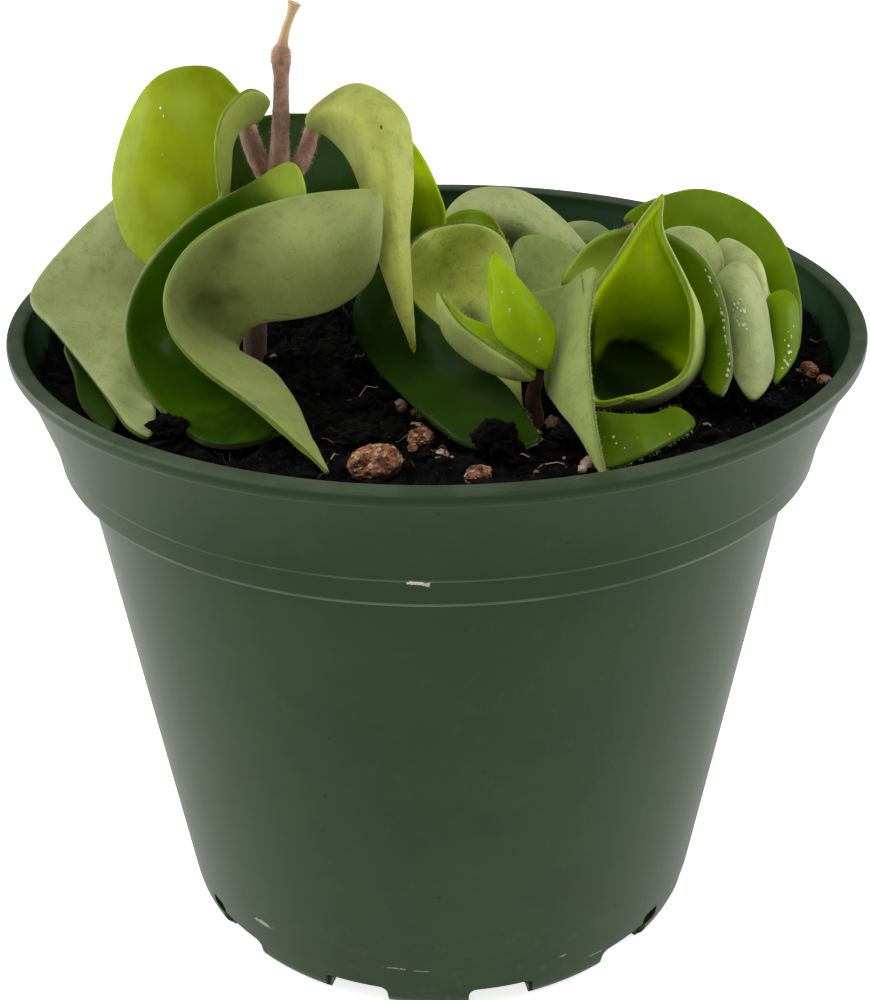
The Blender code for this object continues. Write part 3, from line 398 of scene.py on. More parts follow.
        [(45.1, 51.2, 3), (43, 48, 1), (40.5, 44, 0)],
        [(49.9, 45.6, -1), (47.4, 43.5, -2), (44.5, 41, -2)],
        [(52, 38, -5.5), (50, 37.5, -5), (47.8, 36, -3.5)],
        [(51.6, 31.5, -11), (50.4, 31.3, -9.8), (48.8, 31, -8.5)],
    ]),
    Leaf("leaf_right_pale_outer", "cream", False, False, (39.6, 43.9, -3.2), (48.3, 36.5, -9.6), [
        [(41.3, 46.7, -2.6), (42.3, 43.4, -5.5), (42.7, 39.6, -7.5)],
        [(45.1, 44.7, -4.6), (45.7, 41.3, -7.4), (45.4, 37.1, -9)],
        [(47, 40.7, -6.6), (47, 37.9, -8.4), (46.3, 34.9, -10.6)],
    ]),
    Leaf("leaf_right_small", "leafy", False, True, (49.8, 39.1, -9.5), (48.2, 25.8, -23), [
        [(47.2, 37.9, -10.5), (49.2, 37.1, -12.5), (51.5, 37.3, -11.5)],
        [(47.7, 33.7, -13.5), (49.5, 33.1, -15.5), (51.7, 33.3, -14.2)],
        [(47.9, 29.1, -18.5), (49.4, 28.7, -19.6), (51.1, 29.3, -18.4)],
    ]),
    Leaf("leaf_back_pale", "pale", False, False, (0.8, 49, 8), (22.3, 44.8, 12), [
        [(4.5, 53.5, 16), (5, 50.5, 11), (5, 45, 12.5)],
        [(12, 53.7, 20), (11, 49.5, 13.5), (10, 43, 16.5)],
        [(18, 49.5, 19), (16.5, 45.8, 13), (14.5, 41, 14.5)],
    ]),
    Leaf("leaf_back_green", "leafy", True, False, (0.5, 48.5, 4), (10.6, 45.5, 6), [
        [(3.6, 51, 6), (4, 48.5, 5), (4, 45, 4)],
        [(8, 50.2, 7.5), (7.5, 47.5, 6.5), (7, 43.5, 5)],
    ]),
    Leaf("leaf_back_mid", "leafy", False, False, (10.7, 44.3, 5.5), (21.5, 43.5, 4), [
        [(12.5, 47.2, 8), (12.5, 42.5, 4.5), (12.5, 38, 2)],
        [(17.5, 46.6, 8), (17, 42, 4), (16.5, 38, 0)],
    ]),
    Leaf("leaf_back_small", "leafy", False, False, (15.5, 44.5, 22), (26.2, 46.3, 21), [
        [(18.3, 48.6, 27), (18.5, 46.5, 22), (18.5, 42.6, 24)],
        [(22.8, 49, 26), (22.5, 46.5, 20.5), (22.5, 43.5, 22.5)],
    ]),
]

# The stems and leaf stalks, as sighted points from the root up, each with its radius in millimetres.
# A branch that stands in the soil has its first point at the soil, and its root goes straight down.
Branch = namedtuple("Branch", "vine rooted points")
ROOT_DEPTH = 9.0
BRANCHES = [
    Branch("vine_left", True, [
        (-26, 31.5, -8, 1.5), (-25.8, 38, -7.5, 1.4), (-24.8, 46, -6.8, 1.35), (-23.4, 53, -5.6, 1.4),
        (-22.5, 57, -5, 1.5), (-22.2, 60, -5, 1.15), (-22, 65, -5, 1.0), (-21.9, 70, -5, 0.9),
        (-21.9, 73.2, -5, 1.15), (-21.7, 74.8, -5, 0.7), (-21.2, 77, -5, 0.5), (-20.4, 79.3, -5, 0.5),
        (-19.9, 80.9, -5, 0.75),
    ]),
    Branch("vine_left", False, [
        (-23.2, 54.5, -5.2, 1.2), (-24.8, 57.5, -4.7, 1.2), (-26.1, 60.5, -3.8, 1.2),
        (-27.1, 64.2, -2.6, 1.05),
    ]),
    Branch("vine_left", False, [
        (-22.4, 55.5, -5, 1.1), (-20, 57, -4.6, 1.1), (-18.5, 59.5, -3.7, 1.0), (-17.6, 62.8, -2.6, 0.9),
    ]),
    Branch("vine_left", False, [
        (-24.8, 45.5, -6.8, 1.0), (-23.2, 46, -3, 0.95), (-21.2, 47.4, 1.6, 0.9),
    ]),
    Branch("vine_middle", True, [
        (13.9, 21.6, -27.2, 1.0), (13.6, 24.4, -28, 0.85), (14.4, 27, -28.9, 0.6), (14.6, 27.6, -29.2, 0.2),
    ]),
    Branch("vine_right", True, [
        (33, 34, 0, 1.3), (31.5, 39, 0.3, 1.2), (28.8, 44.5, 1.2, 1.1), (27.1, 48.6, 2.5, 1.0),
    ]),
    Branch("vine_right", False, [
        (32.6, 35.5, 0.1, 1.0), (34.5, 36.5, -2.5, 0.95), (36.6, 37.8, -4.9, 0.9),
    ]),
    Branch("vine_back", True, [
        (3, 36, 6, 1.3), (2.2, 41, 6.3, 1.2), (1.2, 45.5, 7, 1.1), (1.0, 47.4, 7.4, 1.0),
    ]),
    Branch("vine_back", False, [
        (2.1, 43, 6.5, 0.9), (1.5, 46, 5.6, 0.85), (1.2, 46.9, 5.0, 0.8),
    ]),
    Branch("vine_back", False, [
        (2.6, 38.5, 6.1, 1.0), (6.5, 41.3, 7, 0.9), (9.9, 43.6, 6.3, 0.85),
    ]),
]

# The larger stones: the place where each is seen, its three sizes and its turn about +Z
Stone = namedtuple("Stone", "name place size turn")
STONES = [
    Stone("stone_front", (-8.9, 13.9, -39.5), (5.8, 5.0, 3.9), 0.3),
    Stone("stone_middle", (-2.4, 18.3, -32.3), (3.2, 2.8, 2.0), 1.1),
    Stone("stone_front_right", (5.7, 12.6, -42.0), (3.2, 2.6, 2.2), 0.6),
    Stone("stone_right", (53.0, 27.5, -14.2), (2.7, 2.3, 1.9), 2.0),
]
STONE_SUNK = 0.35


def along(points, t, before, after):
    """The point at t, from 0 to 1, of a smooth curve through evenly spaced points."""
    line = [before, *points, after]
    place = min(max(t, 0.0), 1.0) * (len(points) - 1)
    span = min(int(place), len(points) - 2)
    s = place - span
    a, b, c, d = line[span:span + 4]
    return 0.5 * (
        2 * b + (c - a) * s + (2 * a - 5 * b + 4 * c - d) * s * s + (3 * b - a - 3 * c + d) * s ** 3
    )


def beyond(points):
    """One step before the first of these points, straight on."""
    return 2 * points[0] - points[1]


def sight_line(across, up):
    """The way from the eye to the point so far across and up from the aim."""
    return SIGHT_AIM + Vector((across, 0.0, 0.0)) + SIGHT_UP * up - SIGHT_EYE


def sighted(point):
    """The place that is seen so far across and up from the aim, at that depth."""
    across, up, depth = point
    line = sight_line(across, up)
    return SIGHT_EYE + line * ((depth - SIGHT_EYE.y) / line.y)


def on_soil(across, up):
    """The place on the soil that is seen so far across and up from the aim."""
    line = sight_line(across, up)
    return SIGHT_EYE + line * ((SOIL_HEIGHT - SIGHT_EYE.z) / line.z)


def leaf_surface(leaf):
    """The function that gives the middle of a blade at u, from base to tip, and v, from -1 to 1 across."""
    base, tip = sighted(leaf.base), sighted(leaf.tip)
    rows = [[sighted(point) for point in row] for row in leaf.rows]
    last = len(rows[0]) - 1
    guides = []
    for j in range(last + 1):
        points = [base, *(row[j] for row in rows), tip]
        middle = 2 * j == last
        before = beyond(points) if middle else rows[0][last - j]
        after = rows[-1][last - j] if leaf.blunt and not middle else beyond(points[::-1])
        guides.append((points, before, after))

    def surface(u, v):
        across = [along(points, u, before, after) for points, before, after in guides]
        return along(across, (v + 1) / 2, beyond(across), beyond(across[::-1]))

    return surface


def soil_lump(x, y):
    """How far the soil's top lies above or below its usual height at a place."""
    place = Vector((x, y, 0.0)) / SOIL_LUMP_SIZE
    return SOIL_LUMP * (noise.noise(place) + 0.5 * noise.noise(2.3 * place + Vector((7.0, 0.0, 0.0))))


class Number:
    """A shader socket that can be written in sums."""

    def __init__(self, look, socket):
        self.look = look
        self.socket = socket

    def _sum(self, operation, *values):
        return self.look.node("ShaderNodeMath", {"operation": operation}, *values)

    def __add__(self, other):
        return self._sum("ADD", self, other)

    def __radd__(self, other):
        return self._sum("ADD", other, self)

    def __sub__(self, other):
        return self._sum("SUBTRACT", self, other)

    def __rsub__(self, other):
        return self._sum("SUBTRACT", other, self)

    def __mul__(self, other):
        return self._sum("MULTIPLY", self, other)

    def __rmul__(self, other):
        return self._sum("MULTIPLY", other, self)

    def ramp(self, low, high):
        """0 below low and 1 above high, smooth between; low may be the larger."""
        return self.look.node("ShaderNodeMapRange", {"interpolation_type": "SMOOTHSTEP"}, self, low, high)


class Look:
    """A material that is written as sums and mixes."""

    def __init__(self, name):
        self.material = bpy.data.materials.new(name)
        self.material.use_nodes = True
        self.tree = self.material.node_tree
        self.shader = self.tree.nodes["Principled BSDF"]

    def node(self, kind, settings, *values, output=0, **named):
        """Add a node, give it its settings, then its inputs in order, where None skips one, or by name."""
        made = self.tree.nodes.new(kind)
        for key, value in settings.items():
            setattr(made, key, value)
        for key, value in [*enumerate(values), *named.items()]:
            if value is not None:
                self.feed(made.inputs[key if isinstance(key, int) else key.replace("_", " ")], value)
        return Number(self, made.outputs[output])

    def feed(self, socket, value):
        """Link a number or a colour to a socket, or set the socket to a plain value."""
        if isinstance(value, Number):
            self.tree.links.new(value.socket, socket)
        elif isinstance(value, tuple) and socket.type == "RGBA":
            socket.default_value = (*value, 1.0)
        else:
            socket.default_value = value

    def vector(self, operation, *values, output="Vector", **named):
        """Vector maths on links or tuples."""
        return self.node("ShaderNodeVectorMath", {"operation": operation}, *values, output=output, **named)

    def place(self):
        """Where a point is on the object, in millimetres."""
        return self.vector("SCALE", self.node("ShaderNodeTexCoord", {}, output="Object"), Scale=1 / MM)

    def height(self, place):
        """How high a place is above the pot's foot."""
        return self.node("ShaderNodeSeparateXYZ", {}, place, output="Z")

    def noise(self, place, size, detail=3.0, roughness=0.55, stretch=None):
        """Even noise from 0 to 1 whose lumps are about so many millimetres."""
        if stretch:
            place = self.vector("MULTIPLY", place, stretch)
        return self.node(
            "ShaderNodeTexNoise", {}, Vector=place, Scale=1 / size, Detail=detail, Roughness=roughness
        )

    def cells(self, place, size):
        """How far a point is from the middle of its cell, in cells of about so many millimetres."""
        return self.node("ShaderNodeTexVoronoi", {}, Vector=place, Scale=1 / size)

    def margin(self):
        """How many millimetres a point of a blade lies from the margin."""
        return self.node("ShaderNodeAttribute", {"attribute_name": MARGIN_LAYER}, output="Fac")

    def mix(self, factor, first, second):
        """Blend two colours, each a tuple or a link, at the seventh and eighth inputs of a Mix node."""
        colours = [None] * 5 + [first, second]
        return self.node("ShaderNodeMix", {"data_type": "RGBA"}, factor, *colours, output=2)

    def layered(self, colour, layers):
        """A colour with others laid over it in turn, each as a mask and a colour."""
        for mask, other in layers:
            colour = self.mix(mask, colour, other)
        return colour

    def bump(self, height, distance):
        """The relief of a height from 0 to 1, so many millimetres high."""
        return self.node("ShaderNodeBump", {}, Strength=1.0, Distance=distance * MM, Height=height)

    def finish(self, **inputs):
        """Feed the shader's own inputs and hand over the material."""
        for key, value in inputs.items():
            self.feed(self.shader.inputs[key.replace("_", " ")], value)
        return self.material


def mesh_of(name, bm, scale=MM):
    """The mesh of a net, which is used up; its millimetres become metres unless the scale is another."""
    bmesh.ops.scale(bm, verts=bm.verts, vec=(scale, scale, scale))
    mesh = bpy.data.meshes.new(name)
    bm.to_mesh(mesh)
    bm.free()
    return mesh


def shown(name, data):
    """A new object that shows this mesh, curve, light or camera in the scene."""
    made = bpy.data.objects.new(name, data)
    bpy.context.scene.collection.objects.link(made)
    return made


def evaluated(thing):
    """The mesh of an object as its modifiers or its curve make it."""
    graph = bpy.context.evaluated_depsgraph_get()
    return bpy.data.meshes.new_from_object(thing.evaluated_get(graph), depsgraph=graph)


def new_piece(name, bm, looks, nodes=(), crease=35.0):
    """A piece that rides on the plant, from a net in millimetres."""
    mesh = mesh_of(name, bm)
    for look in looks:
        mesh.materials.append(look)
    piece = shown(name, mesh)
    smooth(mesh, crease)
    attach(piece, "root")
    if nodes:
        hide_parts(*nodes)
    return piece


def smooth(mesh, crease):
    """Shade a mesh smooth but for the edges sharper than so many degrees."""
    mesh.polygons.foreach_set("use_smooth", [True] * len(mesh.polygons))
    mesh.set_sharp_from_angle(angle=math.radians(crease))


def combine(piece, bm, operation):
    """Cut a solid in millimetres out of a piece, or join it on."""
    tool = shown("tool", mesh_of("tool", bm))
    boolean = piece.modifiers.new("Combine", "BOOLEAN")
    boolean.operation = operation
    boolean.solver = "EXACT"
    boolean.object = tool
    mesh = evaluated(piece)
    piece.modifiers.clear()
    piece.data = mesh
    bpy.data.meshes.remove(tool.data)


def scattered(name, kinds, spots, look):
    """One piece made of many small copies: each spot is a kind's number and a matrix in millimetres."""
    gathered = bmesh.new()
    for kind, matrix in spots:
        copy = kinds[kind].copy()
        copy.transform(matrix)
        gathered.from_mesh(copy)
        bpy.data.meshes.remove(copy)
    return new_piece(name, gathered, [look], crease=180.0)


def rounded(outline, steps=4):
    """An outline of (radius, height, rounding) points with its corners turned into arcs."""
    points = []
    for k, (x, z, radius) in enumerate(outline):
        here = Vector((x, z))
        if radius <= 0 or k in (0, len(outline) - 1):
            points.append(here)
            continue
        back = Vector(outline[k - 1][:2]) - here
        ahead = Vector(outline[k + 1][:2]) - here
        reach = min(radius, 0.45 * back.length, 0.45 * ahead.length)
        start, end = here + back.normalized() * reach, here + ahead.normalized() * reach
        for step in range(steps + 1):
            t = step / steps
            points.append((1 - t) ** 2 * start + 2 * t * (1 - t) * here + t * t * end)
    return points


def healed(bm):
    """The same net with doubled points joined and its faces turned outwards."""
    bmesh.ops.remove_doubles(bm, verts=bm.verts, dist=0.001)
    bmesh.ops.recalc_face_normals(bm, faces=bm.faces)
    return bm


def turned(outline, steps):
    """Spin a closed outline of (radius, height) points round the axis."""
    bm = bmesh.new()
    verts = [bm.verts.new((point.x, 0.0, point.y)) for point in outline]
    edges = [bm.edges.new(pair) for pair in zip(verts, verts[1:])]
    bmesh.ops.spin(
        bm, geom=verts + edges, cent=(0, 0, 0), axis=(0, 0, 1), angle=math.tau, steps=steps, use_merge=True
    )
    return healed(bm)


def pot_inside(clearance):
    """The inside of the pot from the floor up to the lip, as (radius, height) points."""
    return [
        (FOOT_RADIUS - WALL - clearance, FLOOR_HEIGHT + WALL + clearance),
        (BODY_FOOT_RADIUS - WALL - clearance, BODY_FOOT_HEIGHT + WALL),
        (BODY_TOP_RADIUS - WALL - clearance, BAND_FOOT_HEIGHT - WALL),
        (BAND_FOOT_RADIUS - WALL - clearance, BAND_FOOT_HEIGHT + WALL),
        (BAND_LINE_RADIUS - WALL - clearance, BAND_LINE_HEIGHT),
    ]


def add_block(bm, size, middle, turn, round_off):
    """A block with its four edges along the radius rounded, turned about the pot's axis."""
    verts = bmesh.ops.create_cube(bm, size=1.0)["verts"]
    bmesh.ops.scale(bm, verts=verts, vec=size)
    edges = {edge for vert in verts for edge in vert.link_edges}
    long_edges = [edge for edge in edges if abs(edge.verts[0].co.y - edge.verts[1].co.y) > size[1] / 2]
    made = bmesh.ops.bevel(
        bm, geom=long_edges, offset=round_off, segments=4, profile=0.5, affect="EDGES", material=-1
    )
    verts = list({vert for face in made["faces"] for vert in face.verts} | {v for v in verts if v.is_valid})
    bmesh.ops.translate(bm, verts=verts, vec=middle)
    bmesh.ops.rotate(bm, verts=verts, cent=(0, 0, 0), matrix=Matrix.Rotation(turn, 3, "Z"))


def make_pot(settings):
    """The pot, turned from its outline, with the gaps between its feet and its drain slots cut."""
    lip_foot = POT_HEIGHT - LIP_HEIGHT
    ridge = settings.mould_line / MM
    outline = [
        (0.0, FLOOR_HEIGHT, 0.0),
        (FOOT_RADIUS - FOOT_WIDTH, FLOOR_HEIGHT, 0.5),
        (FOOT_RADIUS - FOOT_WIDTH, 0.0, 0.25),
        (FOOT_RADIUS + 0.5, 0.0, 0.4),
        (FOOT_RADIUS + 0.8 * (BODY_FOOT_RADIUS - FOOT_RADIUS), 0.3 * BODY_FOOT_HEIGHT, 1.4),
        (BODY_FOOT_RADIUS, BODY_FOOT_HEIGHT, 1.6),
        (BODY_TOP_RADIUS, BAND_FOOT_HEIGHT - 0.3, 0.6),
        (BODY_TOP_RADIUS + 0.5, BAND_FOOT_HEIGHT, 0.3),
        (BAND_FOOT_RADIUS - 0.05, BAND_FOOT_HEIGHT - 0.05, 0.4),
        (BAND_FOOT_RADIUS + 0.02, BAND_FOOT_HEIGHT + 0.5, 0.3),
        (BAND_LINE_RADIUS - 0.03, BAND_LINE_HEIGHT - 2 * ridge, 0.0),
        (BAND_LINE_RADIUS + ridge, BAND_LINE_HEIGHT, 0.05),
        (BAND_LINE_RADIUS + 0.06, BAND_LINE_HEIGHT + 2 * ridge, 0.0),
        (BAND_TOP_RADIUS - 0.1, lip_foot - 0.1, 0.3),
        (RIM_RADIUS - 0.25, lip_foot - 0.05, 0.35),
        (RIM_RADIUS, lip_foot + 0.6, 0.4),
        (RIM_RADIUS, POT_HEIGHT, 0.6),
        (BAND_TOP_RADIUS - WALL + 0.05, POT_HEIGHT, 0.55),
        (BAND_TOP_RADIUS - WALL - 0.2, POT_HEIGHT - 1.2, 0.5),
        *[(radius, height, 0.8) for radius, height in reversed(pot_inside(0.0))],
        (0.0, FLOOR_HEIGHT + WALL, 0.0),
    ]
    pot = new_piece(
        "pot_shell", turned(rounded(outline), settings.steps), [pot_look(settings)], ["pot"]
    )
    cutters = bmesh.new()
    recesses = bmesh.new()
    pitch = math.tau / FOOT_COUNT
    gap = (1 - FOOT_SHARE) * pitch
    ring_middle = FOOT_RADIUS - FOOT_WIDTH / 2
    notch = (gap * ring_middle, 4 * FOOT_WIDTH, 2 * NOTCH_HEIGHT)
    recess = (gap * BODY_FOOT_RADIUS, 4 * FOOT_WIDTH, 2 * RECESS_HEIGHT)
    for k in range(FOOT_COUNT):
        turn = FOOT_TURN + (k + 0.5) * pitch
        add_block(cutters, notch, (0.0, -ring_middle - FOOT_WIDTH / 2, 0.0), turn, 0.45 * NOTCH_HEIGHT)
        add_block(recesses, recess, (0.0, -RECESS_RADIUS - 2 * FOOT_WIDTH, 0.0), turn, 0.3 * RECESS_HEIGHT)
    drain = (DRAIN_WIDTH, 3 * WALL, DRAIN_HEIGHT)
    for turn in DRAIN_TURNS:
        add_block(cutters, drain, (0.0, -BODY_FOOT_RADIUS + WALL, DRAIN_MIDDLE), turn, 0.4 * DRAIN_HEIGHT)
    combine(pot, cutters, "DIFFERENCE")
    combine(pot, recesses, "DIFFERENCE")
    smooth(pot.data, 28.0)
    return pot


def soil_relief(x, y, settings):
    """The height of the soil's top at a place, with its clods and grains."""
    place = Vector((x, y, 0.0))
    clods = noise.voronoi(place / (settings.clod_size / MM))[0]
    clod = max(0.0, 0.62 - clods[0]) / 0.62
    rough = noise.fractal(place / 2.6, 0.7, 2.2, 6)
    return SOIL_HEIGHT + soil_lump(x, y) + settings.relief / MM * (0.4 * clod + 0.7 * rough - 0.25)


def make_soil(settings):
    """The bed of peat, which fills the pot up to its rough top."""
    inside = pot_inside(SEAT_GAP)
    share = (SOIL_HEIGHT - BAND_LINE_HEIGHT) / (POT_HEIGHT - BAND_LINE_HEIGHT)
    edge = inside[-1][0] + share * (BAND_TOP_RADIUS - BAND_LINE_RADIUS) - SEAT_GAP
    bm = bmesh.new()
    bmesh.ops.create_grid(bm, x_segments=settings.grid, y_segments=settings.grid, size=1.0)
    for vert in bm.verts:
        x, y = vert.co.x, vert.co.y
        x, y = edge * x * math.sqrt(1 - y * y / 2), edge * y * math.sqrt(1 - x * x / 2)
        vert.co = (x, y, soil_relief(x, y, settings))
    rim = [edge for edge in bm.edges if edge.is_boundary]
    for radius, height in reversed(inside):
        made = bmesh.ops.extrude_edge_only(bm, edges=rim)["geom"]
        rim = [item for item in made if isinstance(item, bmesh.types.BMEdge)]
        for vert in {vert for edge in rim for vert in edge.verts}:
            flat = Vector((vert.co.x, vert.co.y)).normalized() * radius
            vert.co = (flat.x, flat.y, height)
    bmesh.ops.holes_fill(bm, edges=rim, sides=0)
    bmesh.ops.recalc_face_normals(bm, faces=bm.faces)
    look = soil_look("soil_peat_bed", settings, brown=0.35)
    return new_piece("soil_bed", bm, [look], ["soil"], crease=180.0)


def lump_kinds(draw, count, subdivisions, rough):
    """Small uneven lumps, a millimetre across."""
    kinds = []
    for _ in range(count):
        bm = bmesh.new()
        bmesh.ops.create_icosphere(bm, subdivisions=subdivisions, radius=0.5)
        shift = Vector((draw.uniform(0, 50), draw.uniform(0, 50), 0))
        for vert in bm.verts:
            vert.co *= 1.0 + rough * noise.noise(vert.co * 3.1 + shift)
        kinds.append(mesh_of("lump", bm, 1.0))
    return kinds


def lying(draw, place, size, longest=1.35):
    """A matrix that sets a lump down at a place, turned at random."""
    turn = Matrix.Rotation(draw.uniform(0, math.tau), 4, "Z")
    turn @= Matrix.Rotation(draw.uniform(-0.7, 0.7), 4, "X")
    sizes = [size * draw.uniform(*span) for span in ((0.75, longest), (0.6, 1.1), (0.45, 0.9))]
    return Matrix.Translation(place) @ turn @ Matrix.Diagonal((*sizes, 1.0))


def random_size(draw, sizes):
    """A size at random, mostly near the least one."""
    least, more, power = sizes
    return least + more * draw.random() ** power


def soil_spot(draw, reach):
    """A place at random on the soil within a radius."""
    radius = reach * math.sqrt(draw.random())
    turn = draw.uniform(0, math.tau)
    return radius * math.cos(turn), radius * math.sin(turn)


def make_crumbs(settings):
    """The loose crumbs of peat."""
    draw = random.Random(settings.seed)
    kinds = lump_kinds(draw, 16, subdivisions=1, rough=1.4)
    spots = []
    for _ in range(settings.crumbs):
        x, y = soil_spot(draw, CRUMB_REACH)
        size = random_size(draw, CRUMB_SIZES)
        height = soil_relief(x, y, settings) + size * draw.uniform(-0.1, 0.25)
        spots.append((draw.randrange(len(kinds)), lying(draw, (x, y, height), size, longest=2.4)))
    look = soil_look("soil_peat_crumb", settings, brown=1.0)
    return scattered("soil_crumbs", kinds, spots, look)


def make_clods(settings):
    """The larger clods of peat, as ragged lumps."""
    bm = bmesh.new()
    for k, (place, size) in enumerate(CLODS):
        made = bmesh.ops.create_icosphere(bm, subdivisions=5, radius=0.5)["verts"]
        middle = sighted(place)
        for vert in made:
            way = 2.0 * vert.co + Vector((5.0 * k, 0.0, 0.0))
            bump = 1.0 + 0.36 * noise.fractal(way * 1.3, 0.7, 2.1, 6) - 0.2 * noise.voronoi(way * 2.5)[0][0]
            vert.co = middle + Vector([c * bump * part for c, part in zip(vert.co, size)])
    look = soil_look("soil_peat_clod", settings, brown=0.6)
    return new_piece("soil_clods", bm, [look], crease=180.0)


def make_grit(settings):
    """The small pale and rusty grains of pumice."""
    draw = random.Random(settings.seed + 1)
    kinds = lump_kinds(draw, 8, subdivisions=2, rough=0.42)
    spots = []
    for _ in range(settings.grit):
        x, y = soil_spot(draw, GRIT_REACH)
        size = random_size(draw, GRIT_SIZES)
        height = soil_relief(x, y, settings) + size * draw.uniform(0.0, 0.25)
        spots.append((draw.randrange(len(kinds)), lying(draw, (x, y, height), size)))
    for across, up, size in GRAVEL:
        place = on_soil(across, up)
        height = soil_relief(place.x, place.y, settings) + 0.2 * size
        spots.append((draw.randrange(len(kinds)), lying(draw, (place.x, place.y, height), size)))
    look = pumice_look("grit_pumice", settings, mixed=1.0)
    return scattered("soil_grit", kinds, spots, look)


def make_fibres(settings):
    """Fine roots and fibres that lie on the soil."""
    draw = random.Random(settings.seed + 2)
    lines = []
    for _ in range(settings.fibres):
        x, y = soil_spot(draw, FIBRE_REACH)
        turn = draw.uniform(0, math.tau)
        step = draw.uniform(0.5, 1.3)
        places = []
        for _ in range(draw.randrange(5, 11)):
            places.append(Vector((x, y, soil_relief(x, y, settings) + draw.uniform(0.1, 0.9))))
            turn += draw.uniform(-0.7, 0.7)
            x, y = x + step * math.cos(turn), y + step * math.sin(turn)
            if math.hypot(x, y) > FIBRE_LIMIT:
                break
        if len(places) > 3:
            radius = draw.uniform(0.04, 0.1)
            lines.append((places, [radius] * (len(places) - 1) + [0.4 * radius]))
    return new_piece("soil_fibres", tubes(lines, 4), [fibre_look()])


def tubes(lines, sides):
    """Round tubes, closed at both ends, along lines of places with their radii."""
    curve = bpy.data.curves.new("tubes", "CURVE")
    curve.dimensions = "3D"
    curve.bevel_depth = 1.0
    curve.bevel_resolution = sides // 2 - 2
    curve.use_fill_caps = True
    for places, sizes in lines:
        spline = curve.splines.new("POLY")
        spline.points.add(len(places) - 1)
        for knot, place, size in zip(spline.points, places, sizes):
            knot.co = (*place, 1.0)
            knot.radius = size
    mesh = evaluated(shown("tubes", curve))
    bpy.data.curves.remove(curve)
    bm = bmesh.new()
    bm.from_mesh(mesh)
    bpy.data.meshes.remove(mesh)
    return healed(bm)


def branch_line(branch, steps):
    """The places and radii along a branch, with its root if it stands in the soil."""
    points = [sighted(point[:3]) for point in branch.points]
    radii = [point[3] for point in branch.points]
    count = steps * (len(points) - 1)
    places = [along(points, k / count, beyond(points), beyond(points[::-1])) for k in range(count + 1)]
    sizes = [along(radii, k / count, radii[0], radii[-1]) for k in range(count + 1)]
    if branch.rooted:
        places.insert(0, points[0] - Vector((0.0, 0.0, ROOT_DEPTH)))
        sizes.insert(0, radii[0])
    return places, sizes


def make_vine(name, look):
    """A stem with its side stalks joined on, under the look of its bark."""
    branches = [branch for branch in BRANCHES if branch.vine == name]
    lines = [knobbly(*branch_line(branch, 6)) for branch in branches]
    vine = new_piece(name + "_stem", tubes(lines[:1], 20), [look], [name])
    for line in lines[1:]:
        combine(vine, tubes([line], 16), "UNION")
    smooth(vine.data, 60.0)
    return vine


def knobbly(places, sizes):
    """The same line with the small swellings of a grown stem."""
    return places, [size * (1 + 0.07 * noise.noise(place / 1.3)) for place, size in zip(places, sizes)]


def hair_mesh():
    """A pointed hair along +Z, a millimetre long and wide."""
    bm = bmesh.new()
    bmesh.ops.create_cone(bm, cap_ends=True, segments=3, radius1=0.5, radius2=0.1, depth=1.0)
    bmesh.ops.translate(bm, verts=bm.verts, vec=(0, 0, 0.5))
    return mesh_of("hair", bm, 1.0)


def standing(place, way, sizes):
    """A matrix that sets a shape of these sizes at a place, with its +Z along a way."""
    turn = Vector((0, 0, 1)).rotation_difference(way).to_matrix().to_4x4()
    return Matrix.Translation(place) @ turn @ Matrix.Diagonal((*sizes, 1.0))


def make_hairs(settings):
    """The short down on the left vine's stem and stalks."""
    draw = random.Random(settings.seed)
    length, width = settings.hair_length / MM, settings.hair_width / MM
    spots = []
    for branch in BRANCHES:
        if branch.vine != "vine_left":
            continue
        places, sizes = branch_line(branch, 8)
        first = 2 if branch.rooted else 1
        for _ in range(settings.hairs if branch.rooted else settings.hairs // 4):
            k = draw.randrange(first, len(places) - 1)
            if sizes[k] < HAIRLESS_RADIUS:
                continue
            aim = (places[k + 1] - places[k - 1]).normalized()
            side = aim.orthogonal().normalized()
            side.rotate(Matrix.Rotation(draw.uniform(0, math.tau), 3, aim))
            start = places[k].lerp(places[k + 1], draw.random()) + side * sizes[k] * HAIR_DEPTH
            lean = (side + aim * draw.uniform(-0.3, 0.6)).normalized()
            spots.append((0, standing(start, lean, (width, width, length * draw.uniform(0.5, 1.2)))))
    bark = tint(tuple(settings.colour), 1.6)
    look = fine_look("stem_down", bark, tuple(settings.down), roughness=0.6, spread=0.2)
    return scattered("stem_hairs", [hair_mesh()], spots, look)


def facing(surface, u, v):
    """A place on a blade, the way out of the face that is seen from the front, and over the margin."""
    middle = surface(u, v)
    along_way = surface(min(u + 0.01, 1.0), v) - surface(max(u - 0.01, 0.0), v)
    across_way = surface(u, min(v + 0.02, 1.0)) - surface(u, max(v - 0.02, -1.0))
    normal = along_way.cross(across_way).normalized()
    if normal.dot(SIGHT_EYE - middle) < 0:
        normal.negate()
    return middle, normal, across_way.normalized() * (1 if v > 0 else -1)


